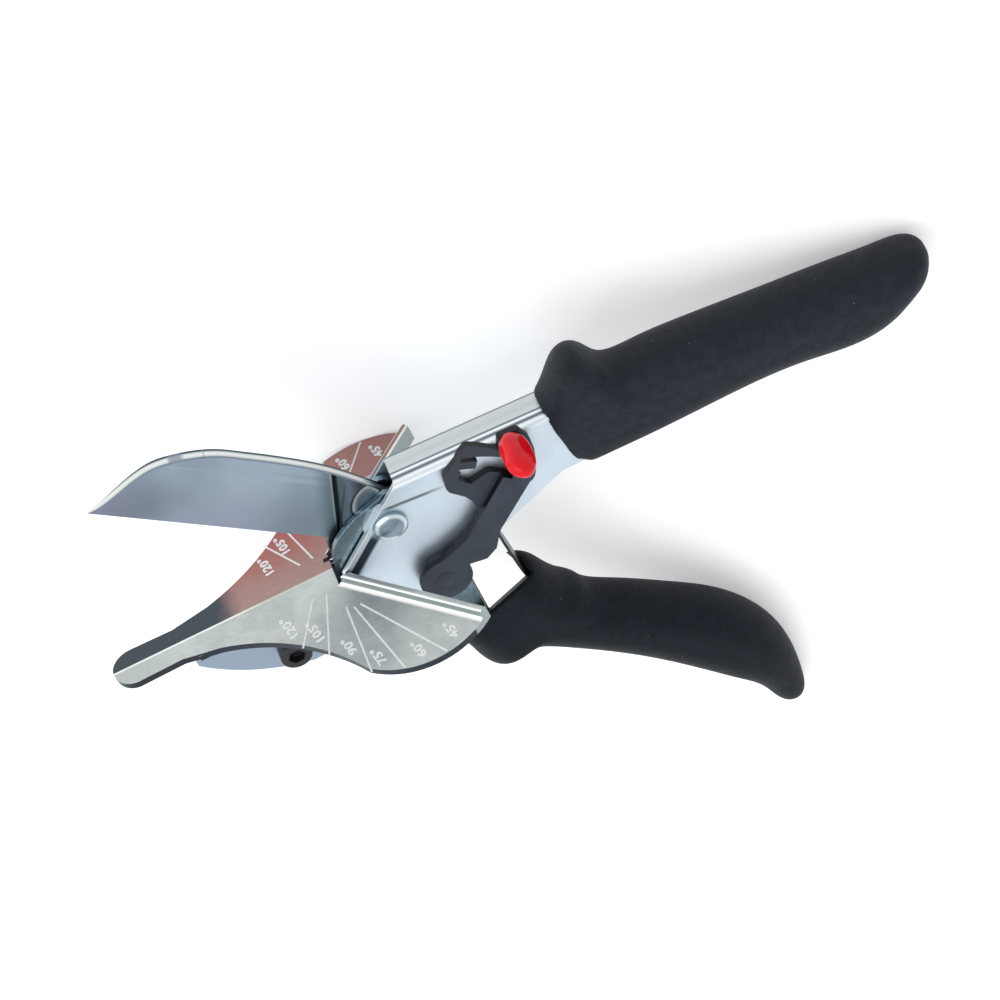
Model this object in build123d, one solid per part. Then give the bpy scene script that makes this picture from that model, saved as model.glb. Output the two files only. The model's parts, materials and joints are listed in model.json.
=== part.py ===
from build123d import *
import os
from math import atan2, cos, degrees, radians, sin, sqrt

os.makedirs("parts", exist_ok=True)

# Mitre shears, lying on their far side with the jaw open.
# Every piece is drawn in the plane of the tool: x runs back to the handles, y rises from
# the angle table to the upper handle, z comes out of the near side, and the blade pivot
# stands at zero. The finished pieces are then laid down on three resting points.

# Clearances
run_gap = 0.05          # radial gap of a turning fit
side_gap = 0.3          # gap between pieces that pass each other
seat_gap = 0.05         # gap round a piece that sits in a pocket
overrun = 1.0           # how far a cut runs past the face it opens

# Jaw
jaw_open_angle = 43.4   # turn of the lower lever from open to shut
table_drop = 10.8       # pivot down to the ridge of the table
edge_drop = table_drop - side_gap

# Angle table
table_thick = 2.2
table_fall_angle = 5.0  # each wing slopes down from the ridge
table_reach = 78.4      # pivot to the nose
table_half_width = 38.5
nose_radius = 5.5
nose_neck = 61.0        # pivot to the end of the straight nose
neck_half_width = 5.2
table_back = 18.3       # pivot to the cross edge behind the nose
fence_offset = 22.8     # where the fence's face would cross the centre line
fence_thick = 2.0
fence_height = 3.0
fence_foot_radius = 1.6
fence_end = 32.6        # how far out the fence ends
wing_widest_x = 3.8
wing_front_x = 19.5
wing_front_z = 32.2
sweep_mid_x = 34.5
sweep_mid_z = 15.6
sweep_end_x = 51.0
sweep_end_z = 7.2
fence_top_round = 0.8
notch_size = 1.4        # nick in the cross edge
notch_z = 3.0
seat_drop = 13.6        # pivot down to the flat seat under the table
seat_half_width = 6.3
seat_front_x = 57.0
rib_front_x = 52.0      # rib between the jaw's flanks
rib_front_drop = 19.6
rib_mid_x = 44.0
rib_mid_drop = 26.2
rib_back_x = 23.0
rib_inset = 1.6         # rib's lower edge above the jaw's

# Upper lever, a pressed channel
channel_half_width = 5.35
channel_wall = 1.5
channel_bend = 1.4
web_front = 5.5
web_top = 11.5
web_top_mid = 8.9
web_mid_x = 60.0
web_top_tail = 2.4
channel_tail = 130.0
flank_drop_tail = 9.0
flank_drop = 9.8
flank_mid_x = 43.0
flank_corner_x = 22.8
flank_corner_drop = 18.9
heel_radius = 28.0      # the flank's lower edge, about the pivot
heel_start_angle = -41.5
heel_end_angle = -98.0
cheek_front = 16.2
cheek_front_drop = 9.3
jaw_tip_x = 58.5
jaw_tip_drop = 16.0
jaw_depth = 32.6
jaw_depth_x = 33.0
jaw_mid_x = 49.5
jaw_mid_drop = 24.6
jaw_back_x = 14.0
jaw_back_drop = 31.6

# Lower lever, a channel nested in the upper one
lever_half_width = 3.3
lever_wall = 1.65
lever_crown = 8.5       # top of the cheeks above the pivot
lever_heel_x = 17.0     # foremost corner, with the jaw open
lever_heel_y = 13.0
lever_waist_x = 6.0
lever_waist_y = 38.0
lever_back_x = 10.5
lever_back_drop = 55.0
lever_tail_x = 56.0
lever_tail_drop = 106.0
cheek_front_shares = ((0.124, 1.0), (-0.047, 0.85), (-0.306, 0.67), (-0.524, 0.46), (-0.759, 0.13),
                      (-0.97, -1.25))
cheek_back_shares = ((1.0, -1.41), (0.905, -0.353), (0.571, 0.706), (0.2, 1.0))
lever_tail_shares = ((0.04, 0.46), (0.36, 0.60), (0.7, 0.8), (0.98, 0.98),
                     (1.16, 0.94), (0.86, 0.7), (0.56, 0.545))
lever_web_shift_shares = (0.9, 0.6)
rivet_radius = 1.75
rivet_shares = ((0.91, -1.38), (0.0, -1.78))

# Blade
blade_thick = 3.2
blade_reach = 74.8
blade_edge_thick = 0.3
blade_height = 12.1     # spine above the pivot when shut
tang_radius = 6.8
grind_top = 9.6        # the hollow grind begins here
grind_mid = 1.5
grind_mid_thick = 1.5
plunge_low_x = 7.0
plunge_mid_x = 11.9
plunge_mid_y = 0.8
plunge_high_x = 15.5
spine_low_shares = ((1.0, -0.868), (0.928, -0.132), (0.86, 0.479), (0.789, 0.752), (0.68, 0.97), (0.612, 1.0))
spine_high_shares = ((0.612, 1.0), (0.397, 0.967), (0.247, 0.868), (0.12, 0.69), (0.032, 0.555))
tang_shares = ((1.47, 0.51), (2.41, -0.46), (1.84, -1.76), (0.29, -1.54))

# Pivot, a shoulder screw with its nut on the far side
pin_radius = 3.0
pin_head_radius = 4.4
pin_head_height = 1.9
pin_head_rim = 0.9
pin_thread_radius = 2.0
pivot_washer_thick = 0.8
nut_flats = 7.0
nut_thick = 3.2
thread_past = 0.8       # thread that shows past a nut
thrust_radius = 6.6
thrust_thick = 0.5

# Table screws
screw_radius = 2.5
screw_head_radius = 4.1
screw_head_height = 3.6
screw_socket_flats = 4.0
screw_socket_depth = 2.2
screw_head_round = 0.4
front_screw_x = 36.0
front_screw_drop = 24.6
table_nut_flats = 8.0
table_nut_thick = 3.6
nut_chamfer = 0.5
bush_radius = 3.6
bush_share = 0.38       # where the bush meets the lever's front edge

# Lock
lock_x = 5.8            # the bar's pivot
lock_y = -23.0
lock_swing = 11.5
lock_plate = 1.7
lock_low = channel_half_width + side_gap
lock_high = lock_low + lock_plate
lock_top = lock_high + lock_plate
lock_end_radius = 6.7
lock_corner_radius = 0.7
lock_rivet_radius = 2.0
lock_rivet_head = 3.1
lock_rivet_head_height = 0.7
lock_spacer_radius = 4.0
slot_inner = 34.3       # arc slot, measured from the bar's pivot
slot_outer = 39.1
slot_far_angle = 64.0
finger_low = 35.3       # tongue in the slot's far end
finger_high = 37.7
finger_angle = 57.4
finger_root_angle = 66.0
stud_radius = 2.1
stud_neck = 1.5
stud_head_radius = 2.9
stud_head_height = 0.8
stud_angle = 38.5
bar_reach = 46.0        # lock pivot to the thumb tab
tab_angle = 49.8
tab_width = 5.0
tab_thick = 1.6
tab_length = 10.5
cap_width = 6.4
cap_thick = 6.0
cap_end = 1.5           # cap past the tab's end
cap_round = 1.3
catch_radius = 1.8      # the lower lever's stud that the bar's lug holds
catch_reach = 30.2      # pivot to the catch stud
lug_radius = 1.6
lug_angle = -48.7
strip_shares = ((-0.115, 0.087), (0.2, 0.217), (0.539, 0.548), (0.591, 0.641), (0.559, 0.709),
                (0.593, 0.826), (0.707, 0.817), (0.741, 0.724), (0.739, 0.639), (0.72, 0.548),
                (0.687, 0.457), (0.376, 0.167), (0.315, 0.054), (0.243, 0.011), (0.143, 0.033))
head_shares = ((0.424, 0.835), (0.474, 0.798), (0.559, 0.709), (0.674, 0.663), (0.663, 0.511),
               (0.424, 0.304), (0.32, 0.376), (0.317, 0.43), (0.296, 0.483), (0.233, 0.565),
               (0.226, 0.596), (0.241, 0.683), (0.339, 0.763), (0.378, 0.807))
mouth_shares = ((0.304, 0.628), (0.354, 0.557), (0.457, 0.576), (0.507, 0.574), (0.489, 0.641),
                (0.348, 0.685))

# Grips
grip_round_share = 0.97 # corner radius over half width
upper_grip_length = 99.6
upper_grip_front = 46.5
upper_grip_height = 26.0
upper_grip_half = 9.0
grip_mouth_tilt = 7.0   # the mouth leans forward at the top
grip_mouth_share = 0.03
upper_grip_shares = ((0.0, 0.45, -0.41, 0.8), (0.022, 0.505, -0.455, 0.92), (0.05, 0.7, -0.484, 0.98),
                     (0.083, 0.815, -0.487, 1.0), (0.115, 0.825, -0.49, 1.0), (0.145, 0.7, -0.493, 1.0),
                     (0.169, 0.535, -0.496, 1.0), (0.203, 0.478, -0.498, 1.0), (0.27, 0.47, -0.497, 1.0),
                     (0.37, 0.445, -0.49, 1.0), (0.62, 0.33, -0.535, 1.0), (0.77, 0.262, -0.625, 1.0),
                     (0.87, 0.212, -0.54, 0.98), (0.917, 0.196, -0.43, 0.93), (0.957, 0.16, -0.304, 0.8),
                     (0.985, 0.112, -0.17, 0.55), (1.0, 0.04, -0.05, 0.2))
lower_grip_x = 71.8
lower_grip_drop = 134.3
lower_grip_height = 25.0
lower_grip_half = 9.0
lower_grip_shares = ((0.173, 0.325, 0.505, 0.72), (0.189, 0.3425, 0.552, 0.88), (0.209, 0.3753, 0.578, 0.98),
                     (0.231, 0.4125, 0.6, 1.0), (0.26, 0.435, 0.588, 1.0), (0.313, 0.437, 0.474, 1.0),
                     (0.361, 0.454, 0.418, 1.0), (0.405, 0.482, 0.38, 1.0),
                     (0.524, 0.542, 0.383, 1.0), (0.659, 0.612, 0.41, 1.0), (0.788, 0.688, 0.442, 1.0),
                     (0.872, 0.754, 0.427, 0.98), (0.923, 0.81, 0.379, 0.92), (0.957, 0.862, 0.306, 0.83),
                     (0.979, 0.921, 0.227, 0.67), (0.989, 0.973, 0.163, 0.5), (1.0, 1.0, 0.07, 0.2))
lower_grip_angles = (-67.9, -66.5, -65, -61.7, -57.8, -56.7, -52.6, -44, -44, -46, -51, -59, -67, -75, -80, -80, -79)
# The mouth is cut back on a slope, so its near side reaches higher than its far side.
mouth_cut_x = 24.9
mouth_cut_drop = 40.2
mouth_cut_level = 4.0
mouth_cut_length = 24.0
mouth_cut_shares = ((0.0, 0.0), (-2.0, -0.85), (-2.0, 1.0), (-0.19, 0.62))
mouth_cut_way_shares = (0.064, 0.728, 0.682)

# Lying down: the direction that points up when the tool rests on its far side
rest_up_shares = (-0.221, 0.1425, 0.9648)

# Opening spring
spring_thick = 0.7
spring_half_width = 2.8
spring_x = 22.0         # free end, inside the upper lever
spring_top_drop = 16.0
spring_shares = ((1.0, 1.0), (1.0, 1.62), (1.02, 2.1), (1.045, 2.5), (1.1, 2.9), (1.2, 3.4))


def at_angle(reach, angle):
    """Point at a distance and an angle in degrees from the blade pivot."""
    return (reach * cos(radians(angle)), reach * sin(radians(angle)))


def slab(face, low, high):
    """Solid between two heights above the middle plane, from an outline in that plane."""
    return Pos(0, 0, low) * extrude(face, high - low)


def both_sides(face, half):
    """Solid that reaches equally far to each side of the middle plane."""
    return slab(face, -half, half)


def post(x, y, radius, low, high):
    """Round post across the tool."""
    return Pos(x, y, low) * extrude(Circle(radius), high - low)


def turned(shape, angle):
    """Shape turned about the blade pivot."""
    return Rot(0, 0, angle) * shape


def scaled(shares, width, height):
    """Points from a table of shares of a width and a height."""
    return [(width * u, height * v) for u, v in shares]


# Upper lever

def flank_face():
    """Side view of the upper lever's two flanks, with the jaw that runs forward."""
    heel_back = at_angle(heel_radius, heel_start_angle)
    heel_mid = at_angle(heel_radius, (heel_start_angle + heel_end_angle) / 2)
    heel_front = at_angle(heel_radius, heel_end_angle)
    with BuildSketch() as sketch:
        with BuildLine():
            Polyline(
                heel_back,
                (flank_corner_x, -flank_corner_drop),
                (flank_mid_x, -flank_drop),
                (channel_tail, -flank_drop_tail),
                (channel_tail, web_top_tail),
                (web_mid_x, web_top_mid),
                (web_front, web_top),
                (-cheek_front, -cheek_front_drop),
                (-cheek_front, -seat_drop),
                (-jaw_tip_x, -seat_drop),
                (-jaw_tip_x, -jaw_tip_drop),
            )
            ThreePointArc((-jaw_tip_x, -jaw_tip_drop), (-jaw_mid_x, -jaw_mid_drop),
                          (-jaw_depth_x, -jaw_depth))
            Polyline((-jaw_depth_x, -jaw_depth), (-jaw_back_x, -jaw_back_drop), heel_front)
            ThreePointArc(heel_front, heel_mid, heel_back)
        make_face()
    return sketch.sketch


def web_face():
    """Side view of the web along the top of the channel."""
    top = [(web_front, web_top), (web_mid_x, web_top_mid), (channel_tail, web_top_tail)]
    low = [(x, y - channel_wall) for x, y in reversed(top)]
    return make_face(Polyline(*top, *low, close=True).edges())


def flank_holes():
    """Holes through both flanks for the pin and the table screws."""
    front, back = table_screw_places()
    reach = channel_half_width + overrun
    holes = post(0, 0, pin_radius + run_gap, -reach, reach)
    for x, y in (front, back):
        holes += post(x, y, screw_radius + run_gap, -reach, reach)
    return holes


def build_upper_lever():
    """Channel with a web on top, two flanks and the jaw under the table."""
    face = flank_face()
    inner = channel_half_width - channel_wall
    near = slab(face, inner, channel_half_width)
    far = slab(face, -channel_half_width, -inner)
    channel = near + far + both_sides(web_face(), channel_half_width)
    bends = [
        edge for edge in channel.edges().filter_by(GeomType.LINE)
        if abs(abs(edge.center().Z) - channel_half_width) < run_gap
        and edge.center().Y > web_top_tail
        and edge.center().X > web_front
        and edge.length > channel_half_width * 2
    ]
    channel = fillet(bends, channel_bend)
    channel -= flank_holes()
    stud = stud_place()
    channel -= post(*stud, stud_neck, inner - overrun, channel_half_width + overrun)
    channel -= post(lock_x, lock_y, lock_rivet_radius + seat_gap, inner - overrun,
                    channel_half_width + overrun)
    return channel


def table_screw_places():
    """Front and back screw, the back one where its bush stops the lower lever."""
    front = (-front_screw_x, -front_screw_drop)
    x1, y1 = -lever_heel_x, -lever_heel_y
    x2, y2 = -lever_waist_x, -lever_waist_y
    run = sqrt((x2 - x1) ** 2 + (y2 - y1) ** 2)
    reach = bush_radius + side_gap
    x = x1 + (x2 - x1) * bush_share + (y2 - y1) / run * reach
    y = y1 + (y2 - y1) * bush_share - (x2 - x1) / run * reach
    return front, (x, y)


def stud_place():
    """Fixed stud that the bar's arc slot runs on."""
    reach = (slot_inner + slot_outer) / 2
    return (lock_x + reach * cos(radians(stud_angle)), lock_y + reach * sin(radians(stud_angle)))




# Lower lever

def lever_face():
    """Side view of the lower lever with the jaw open."""
    front = scaled(cheek_front_shares, lever_heel_x, lever_crown)
    back = scaled(cheek_back_shares, lever_back_x, lever_crown)
    tail = scaled(lever_tail_shares, lever_tail_x, -lever_tail_drop)
    with BuildSketch() as sketch:
        with BuildLine():
            Spline(*front)
            Polyline(front[-1], (-lever_heel_x, -lever_heel_y), (-lever_waist_x, -lever_waist_y),
                     *tail, (lever_back_x, -lever_back_drop), back[0])
            Spline(*back[:-1], front[0])
        make_face()
    return sketch.sketch


def lever_web_face():
    """Strip along the front of the lower lever, where its web closes the channel."""
    half = (len(lever_tail_shares) + 1) // 2
    tail = scaled(lever_tail_shares[:half], lever_tail_x, -lever_tail_drop)
    front = [(-lever_heel_x, -lever_heel_y), (-lever_waist_x, -lever_waist_y), *tail]
    across, up = lever_web_shift_shares
    back = [(x + lever_wall * across, y + lever_wall * up) for x, y in reversed(front)]
    return make_face(Polyline(*front, *back, close=True).edges())


def rivet_places():
    """The two rivets through cheeks and tang, with the jaw open."""
    return scaled(rivet_shares, tang_radius, tang_radius)


def swung(point, angle):
    """Point turned about the lock pivot."""
    x, y = point[0] - lock_x, point[1] - lock_y
    c, s = cos(radians(angle)), sin(radians(angle))
    return (lock_x + x * c - y * s, lock_y + x * s + y * c)


def lug_place():
    """Lug under the bar's corner, just inside the catch stud's path."""
    return at_angle(catch_reach - catch_radius - side_gap - lug_radius, lug_angle)


def catch_place():
    """Catch stud on the open lower lever, which meets the swung lug when shut."""
    x, y = swung(lug_place(), -lock_swing)
    reach = sqrt(x ** 2 + y ** 2)
    apart = lug_radius + catch_radius + side_gap
    between = (reach ** 2 + catch_reach ** 2 - apart ** 2) / (2 * reach * catch_reach)
    spread = degrees(atan2(sqrt(1 - between ** 2), between))
    return at_angle(catch_reach, degrees(atan2(y, x)) + spread - jaw_open_angle)


def build_lower_lever():
    """Two cheeks that hold the blade's tang, joined by a web in front."""
    face = lever_face()
    inner = blade_thick / 2 + seat_gap
    lever = slab(face, inner, lever_half_width) + slab(face, -lever_half_width, -inner)
    lever += both_sides(lever_web_face() & face, lever_half_width)
    reach = lever_half_width + overrun
    lever -= post(0, 0, pin_radius + run_gap, -reach, reach)
    for x, y in rivet_places():
        lever -= post(x, y, rivet_radius + seat_gap, -reach, reach)
    lever -= post(*catch_place(), stud_neck + seat_gap, inner - overrun, reach)
    return lever


def build_catch_stud():
    """Stud riveted in the near cheek."""
    x, y = catch_place()
    inner = blade_thick / 2 + seat_gap
    neck = post(x, y, stud_neck, inner, lever_half_width)
    return neck + post(x, y, catch_radius, lever_half_width, lock_high - side_gap)


def build_blade_rivets():
    """Flush rivets through both cheeks and the tang."""
    half = lever_half_width
    return [post(x, y, rivet_radius, -half, half) for x, y in rivet_places()]


# Blade

def blade_face():
    """Side view of the shut blade, from the tip to the hub and the tang."""
    low = scaled(spine_low_shares, -blade_reach, blade_height)
    high = scaled(spine_high_shares, -blade_reach, blade_height)
    tang = scaled(tang_shares, tang_radius, tang_radius)
    with BuildSketch() as sketch:
        with BuildLine():
            Spline(*low)
            Spline(*high)
            Polyline(high[-1], (0, tang_radius), *tang, (-plunge_low_x, -edge_drop), low[0])
        make_face()
        Circle(tang_radius)
    return sketch.sketch


def grind_cutter():
    """What the hollow grind takes off the near side of the blade, ahead of the plunge line."""
    half = blade_thick / 2
    below = -edge_drop - overrun
    low = (below, blade_edge_thick / 2)
    with BuildSketch(Plane.YZ) as section:
        with BuildLine():
            ThreePointArc((grind_top, half), (grind_mid, grind_mid_thick / 2),
                          (-edge_drop, blade_edge_thick / 2))
            Polyline((-edge_drop, blade_edge_thick / 2), low, (below, blade_thick),
                     (grind_top, blade_thick), (grind_top, half))
        make_face()
    cutter = Pos(-blade_reach - overrun, 0, 0) * extrude(section.sketch, blade_reach + overrun)
    ahead = -blade_reach - overrun
    with BuildSketch() as side:
        with BuildLine():
            Spline((-plunge_high_x, grind_top), (-plunge_mid_x, plunge_mid_y),
                   (-plunge_low_x, -edge_drop), (-plunge_low_x + overrun, below))
            Polyline((-plunge_low_x + overrun, below), (ahead, below), (ahead, grind_top),
                     (-plunge_high_x, grind_top))
        make_face()
    return cutter & both_sides(side.sketch, blade_thick)


def build_blade():
    """Hollow-ground blade with its tang, turned to the open jaw."""
    blade = both_sides(blade_face(), blade_thick / 2)
    cutter = grind_cutter()
    blade -= cutter
    blade -= mirror(cutter, about=Plane.XY)
    blade -= post(0, 0, pin_radius + run_gap, -blade_thick, blade_thick)
    blade = turned(blade, -jaw_open_angle)
    for x, y in rivet_places():
        blade -= post(x, y, rivet_radius + seat_gap, -blade_thick, blade_thick)
    return blade


# Angle table

def table_plan():
    """Near half of the table's outline, with z of the tool drawn upwards."""
    fence_end_front = fence_end - fence_offset
    back = sqrt(2) * fence_thick
    inner = channel_half_width + side_gap
    outer = (fence_end_front + back, fence_end)
    nose = nose_radius * sin(radians(45))
    with BuildSketch() as sketch:
        with BuildLine():
            ThreePointArc((-table_reach, 0), (-table_reach + nose_radius - nose, nose),
                          (-table_reach + nose_radius, nose_radius))
            Polyline((-table_reach + nose_radius, nose_radius), (-nose_neck, neck_half_width),
                     (-sweep_end_x, sweep_end_z))
            ThreePointArc((-sweep_end_x, sweep_end_z), (-sweep_mid_x, sweep_mid_z),
                          (-wing_front_x, wing_front_z))
            ThreePointArc((-wing_front_x, wing_front_z), (-wing_widest_x, table_half_width), outer)
            Polyline(outer, (inner - fence_offset + back, inner), (-table_back, inner),
                     (-table_back, 0), (-table_reach, 0))
        make_face()
    return sketch.sketch


def fence_profile():
    """Section across the fence: an upright flange with a rounded top and a hollow foot."""
    foot = fence_foot_radius
    top = fence_top_round
    bend = sin(radians(45))
    with BuildSketch() as sketch:
        with BuildLine():
            Polyline((foot, -table_thick / 2), (foot, 0))
            ThreePointArc((foot, 0), (foot * (1 - bend), foot * (1 - bend)), (0, foot))
            Line((0, foot), (0, fence_height - top))
            ThreePointArc((0, fence_height - top),
                          (-top * (1 - bend), fence_height - top * (1 - bend)), (-top, fence_height))
            Line((-top, fence_height), (top - fence_thick, fence_height))
            ThreePointArc((top - fence_thick, fence_height),
                          (top * (1 - bend) - fence_thick, fence_height - top * (1 - bend)),
                          (-fence_thick, fence_height - top))
            Polyline((-fence_thick, fence_height - top), (-fence_thick, -table_thick / 2),
                     (foot, -table_thick / 2))
        make_face()
    return sketch.sketch


def build_wing():
    """Near wing with its fence, drawn level and then tilted down from the ridge."""
    flat = Plane(origin=(0, -table_drop, 0), x_dir=(1, 0, 0), z_dir=(0, -1, 0))
    plan = table_plan()
    wing = extrude(flat * plan, table_thick)
    across = Plane(origin=(-fence_offset, -table_drop, 0), x_dir=(-1, 0, 1), z_dir=(1, 0, 1))
    profile = fence_profile()
    if (across.y_dir - Vector(0, 1, 0)).length > run_gap:
        profile = mirror(profile, about=Plane.XZ)
    fence = extrude(across * profile, table_half_width * 2)
    fence &= Pos(0, fence_height, 0) * extrude(flat * plan, fence_height + table_thick)
    fence -= both_sides(make_face(Polyline((-table_reach, -table_drop), (0, -table_drop), (0, 0),
                                           (-table_reach, 0), close=True).edges()),
                        channel_half_width + side_gap)
    wing += fence
    tilt = Axis((0, -table_drop, 0), (1, 0, 0))
    return wing.rotate(tilt, table_fall_angle)


def rib_face():
    """Side view of the rib that stands between the jaw's flanks."""
    low = jaw_depth - rib_inset
    top = -table_drop - table_thick / 2
    with BuildSketch() as sketch:
        with BuildLine():
            ThreePointArc((-rib_front_x, -rib_front_drop), (-rib_mid_x, -rib_mid_drop),
                          (-jaw_depth_x, -low))
            Polyline((-jaw_depth_x, -low), (-rib_back_x, -low), (-rib_back_x, top),
                     (-rib_front_x, top), (-rib_front_x, -rib_front_drop))
        make_face()
    return sketch.sketch


def build_angle_table():
    """Cast table: two wings, the fences, the seat under them and the rib in the jaw."""
    wing = build_wing()
    table = wing + mirror(wing, about=Plane.XY)
    seat_top = -table_drop - table_thick / 2
    seat = make_face(Polyline((-seat_front_x, -seat_drop), (-table_back, -seat_drop),
                              (-table_back, seat_top), (-seat_front_x, seat_top), close=True).edges())
    table += both_sides(seat, seat_half_width)
    rib_half = channel_half_width - channel_wall - seat_gap
    table += both_sides(rib_face(), rib_half)
    nick = make_face(Polyline((-table_back + overrun, -seat_drop - overrun),
                              (-table_back - notch_size, -seat_drop - overrun),
                              (-table_back - notch_size, -table_drop + overrun),
                              (-table_back + overrun, -table_drop + overrun), close=True).edges())
    table -= slab(nick, -notch_z - notch_size, -notch_z)
    front, _ = table_screw_places()
    table -= post(*front, screw_radius + seat_gap, -seat_half_width, seat_half_width)
    return table


# Fasteners

def hex_nut(x, y, flats, bore, outer, thick):
    """Nut on the far side, its outer face chamfered and its bore open."""
    corner = flats / sqrt(3)
    nut = extrude(RegularPolygon(corner, 6), thick)
    cone = Cone(corner + thick, corner - nut_chamfer, thick + nut_chamfer,
                align=(Align.CENTER, Align.CENTER, Align.MIN))
    nut &= cone
    nut -= Cylinder(bore, thick * 3)
    return Pos(x, y, outer) * Rot(180, 0, 0) * nut


def socket_screw(x, y):
    """Cap screw from the near side through to past its nut."""
    top = channel_half_width + screw_head_height
    end = -channel_half_width - table_nut_thick - thread_past
    head = post(x, y, screw_head_radius, channel_half_width, top)
    rim = [e for e in head.edges().filter_by(GeomType.CIRCLE) if e.center().Z > top - run_gap]
    head = fillet(rim, screw_head_round)
    socket = extrude(RegularPolygon(screw_socket_flats / sqrt(3), 6), screw_socket_depth + overrun)
    head -= Pos(x, y, top - screw_socket_depth) * socket
    return head + post(x, y, screw_radius, end, channel_half_width)


def build_table_screws():
    """Front and back screw."""
    return [socket_screw(x, y) for x, y in table_screw_places()]


def build_table_nuts():
    """Nuts of the two table screws."""
    return [hex_nut(x, y, table_nut_flats, screw_radius + seat_gap, -channel_half_width,
                    table_nut_thick) for x, y in table_screw_places()]


def build_stop_bush():
    """Bush on the back screw that the lower lever's front edge comes to rest against."""
    _, back = table_screw_places()
    half = channel_half_width - channel_wall - seat_gap
    return post(*back, bush_radius, -half, half) - post(*back, screw_radius + run_gap, -channel_half_width,
                                                        channel_half_width)


def build_pivot_pin():
    """Shoulder screw with a low domed head."""
    low, high = -channel_half_width, channel_half_width
    thread_end = low - pivot_washer_thick - nut_thick - thread_past
    crown = pin_head_height - pin_head_rim
    dome = (pin_head_radius ** 2 + crown ** 2) / (2 * crown)
    top = high + pin_head_height
    half = pin_head_radius / 2
    sag = dome - sqrt(dome ** 2 - half ** 2)
    with BuildSketch(Plane.XZ) as sketch:
        with BuildLine():
            Polyline((0, top), (0, thread_end), (pin_thread_radius, thread_end),
                     (pin_thread_radius, low), (pin_radius, low), (pin_radius, high),
                     (pin_head_radius, high), (pin_head_radius, high + pin_head_rim))
            ThreePointArc((pin_head_radius, high + pin_head_rim), (half, top - sag), (0, top))
        make_face()
    return revolve(sketch.sketch, Axis.Z)


def build_pivot_washer():
    """Washer under the pivot's nut."""
    low = -channel_half_width - pivot_washer_thick
    ring = post(0, 0, pin_head_radius, low, -channel_half_width)
    return ring - post(0, 0, pin_thread_radius + seat_gap, low - overrun, -channel_half_width + overrun)


def build_pivot_nut():
    """Nut of the blade pivot."""
    return hex_nut(0, 0, nut_flats, pin_thread_radius + seat_gap,
                   -channel_half_width - pivot_washer_thick, nut_thick)


def build_thrust_washers():
    """One washer each side of the lower lever, against the flanks."""
    high = channel_half_width - channel_wall
    ring = post(0, 0, thrust_radius, high - thrust_thick, high)
    ring -= post(0, 0, pin_radius + run_gap, -high, high + overrun)
    return [ring, mirror(ring, about=Plane.XY)]


# Lock

def lock_points(shares):
    """Points of the bar from a table of shares of its reach, about the bar's pivot."""
    return [(lock_x + x, lock_y + y) for x, y in scaled(shares, bar_reach, bar_reach)]


def rounded(points, radius):
    """Closed outline with its corners rounded."""
    face = make_face(Polyline(*points, close=True).edges())
    return fillet(face.vertices(), radius)


def ring_sector(inner, outer, first_angle, last_angle):
    """Part of a ring about the bar's pivot."""
    middle = (first_angle + last_angle) / 2

    def at(reach, angle):
        x, y = at_angle(reach, angle)
        return (lock_x + x, lock_y + y)

    with BuildSketch() as sketch:
        with BuildLine():
            ThreePointArc(at(inner, first_angle), at(inner, middle), at(inner, last_angle))
            Line(at(inner, last_angle), at(outer, last_angle))
            ThreePointArc(at(outer, last_angle), at(outer, middle), at(outer, first_angle))
            Line(at(outer, first_angle), at(inner, first_angle))
        make_face()
    return sketch.sketch


def build_lock_bar():
    """Two-level bar: a low plate with the arc slot, a raised strip, the lug and the thumb tab."""
    strip = rounded(lock_points(strip_shares), lock_corner_radius)
    strip = slab(strip, lock_high, lock_top) + post(lock_x, lock_y, lock_end_radius, lock_high, lock_top)
    bar = strip + slab(rounded(lock_points(head_shares), lock_corner_radius / 2), lock_low, lock_high)
    bar += post(*lug_place(), lug_radius, lock_low, lock_high)
    slot_end_x, slot_end_y = stud_place()
    cuts = slab(ring_sector(slot_inner, slot_outer, stud_angle, slot_far_angle),
                lock_low - overrun, lock_top + overrun)
    cuts += post(slot_end_x, slot_end_y, (slot_outer - slot_inner) / 2, lock_low - overrun,
                 lock_top + overrun)
    mouth = make_face(Polyline(*lock_points(mouth_shares), close=True).edges())
    cuts += slab(mouth, lock_low - overrun, lock_top + overrun)
    bar -= cuts
    bar -= post(lock_x, lock_y, lock_rivet_radius + run_gap, lock_low, lock_top + overrun)
    bar += slab(ring_sector(finger_low, finger_high, finger_angle, finger_root_angle), lock_low, lock_high)
    return bar + Pos(0, 0, lock_top) * thumb_block(tab_width, tab_thick, -lock_plate, tab_length)


def thumb_block(width, thick, low, high):
    """Upright block at the bar's end, square to its reach."""
    x, y = at_angle(bar_reach, tab_angle)
    block = extrude(Rectangle(thick, width), high - low)
    return Pos(lock_x + x, lock_y + y, low) * Rot(0, 0, tab_angle) * block


def build_lock_cap():
    """Red cap pushed over the thumb tab."""
    x, y = at_angle(bar_reach, tab_angle)
    length = tab_length + cap_end
    cap = extrude(Rectangle(cap_thick, cap_width), length - seat_gap)
    cap = fillet(cap.edges().filter_by(Axis.Z) + cap.faces().sort_by(Axis.Z)[-1].edges(), cap_round)
    cap = Pos(lock_x + x, lock_y + y, lock_top + seat_gap) * Rot(0, 0, tab_angle) * cap
    room = thumb_block(tab_width + seat_gap * 2, tab_thick + seat_gap * 2, -overrun, tab_length + seat_gap)
    return cap - Pos(0, 0, lock_top) * room


def build_lock_rivet():
    """Rivet in the near flank that the bar turns on."""
    inner = channel_half_width - channel_wall
    shank = post(lock_x, lock_y, lock_rivet_radius, inner, lock_top + run_gap)
    top = lock_top + run_gap
    return shank + post(lock_x, lock_y, lock_rivet_head, top, top + lock_rivet_head_height)


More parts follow.
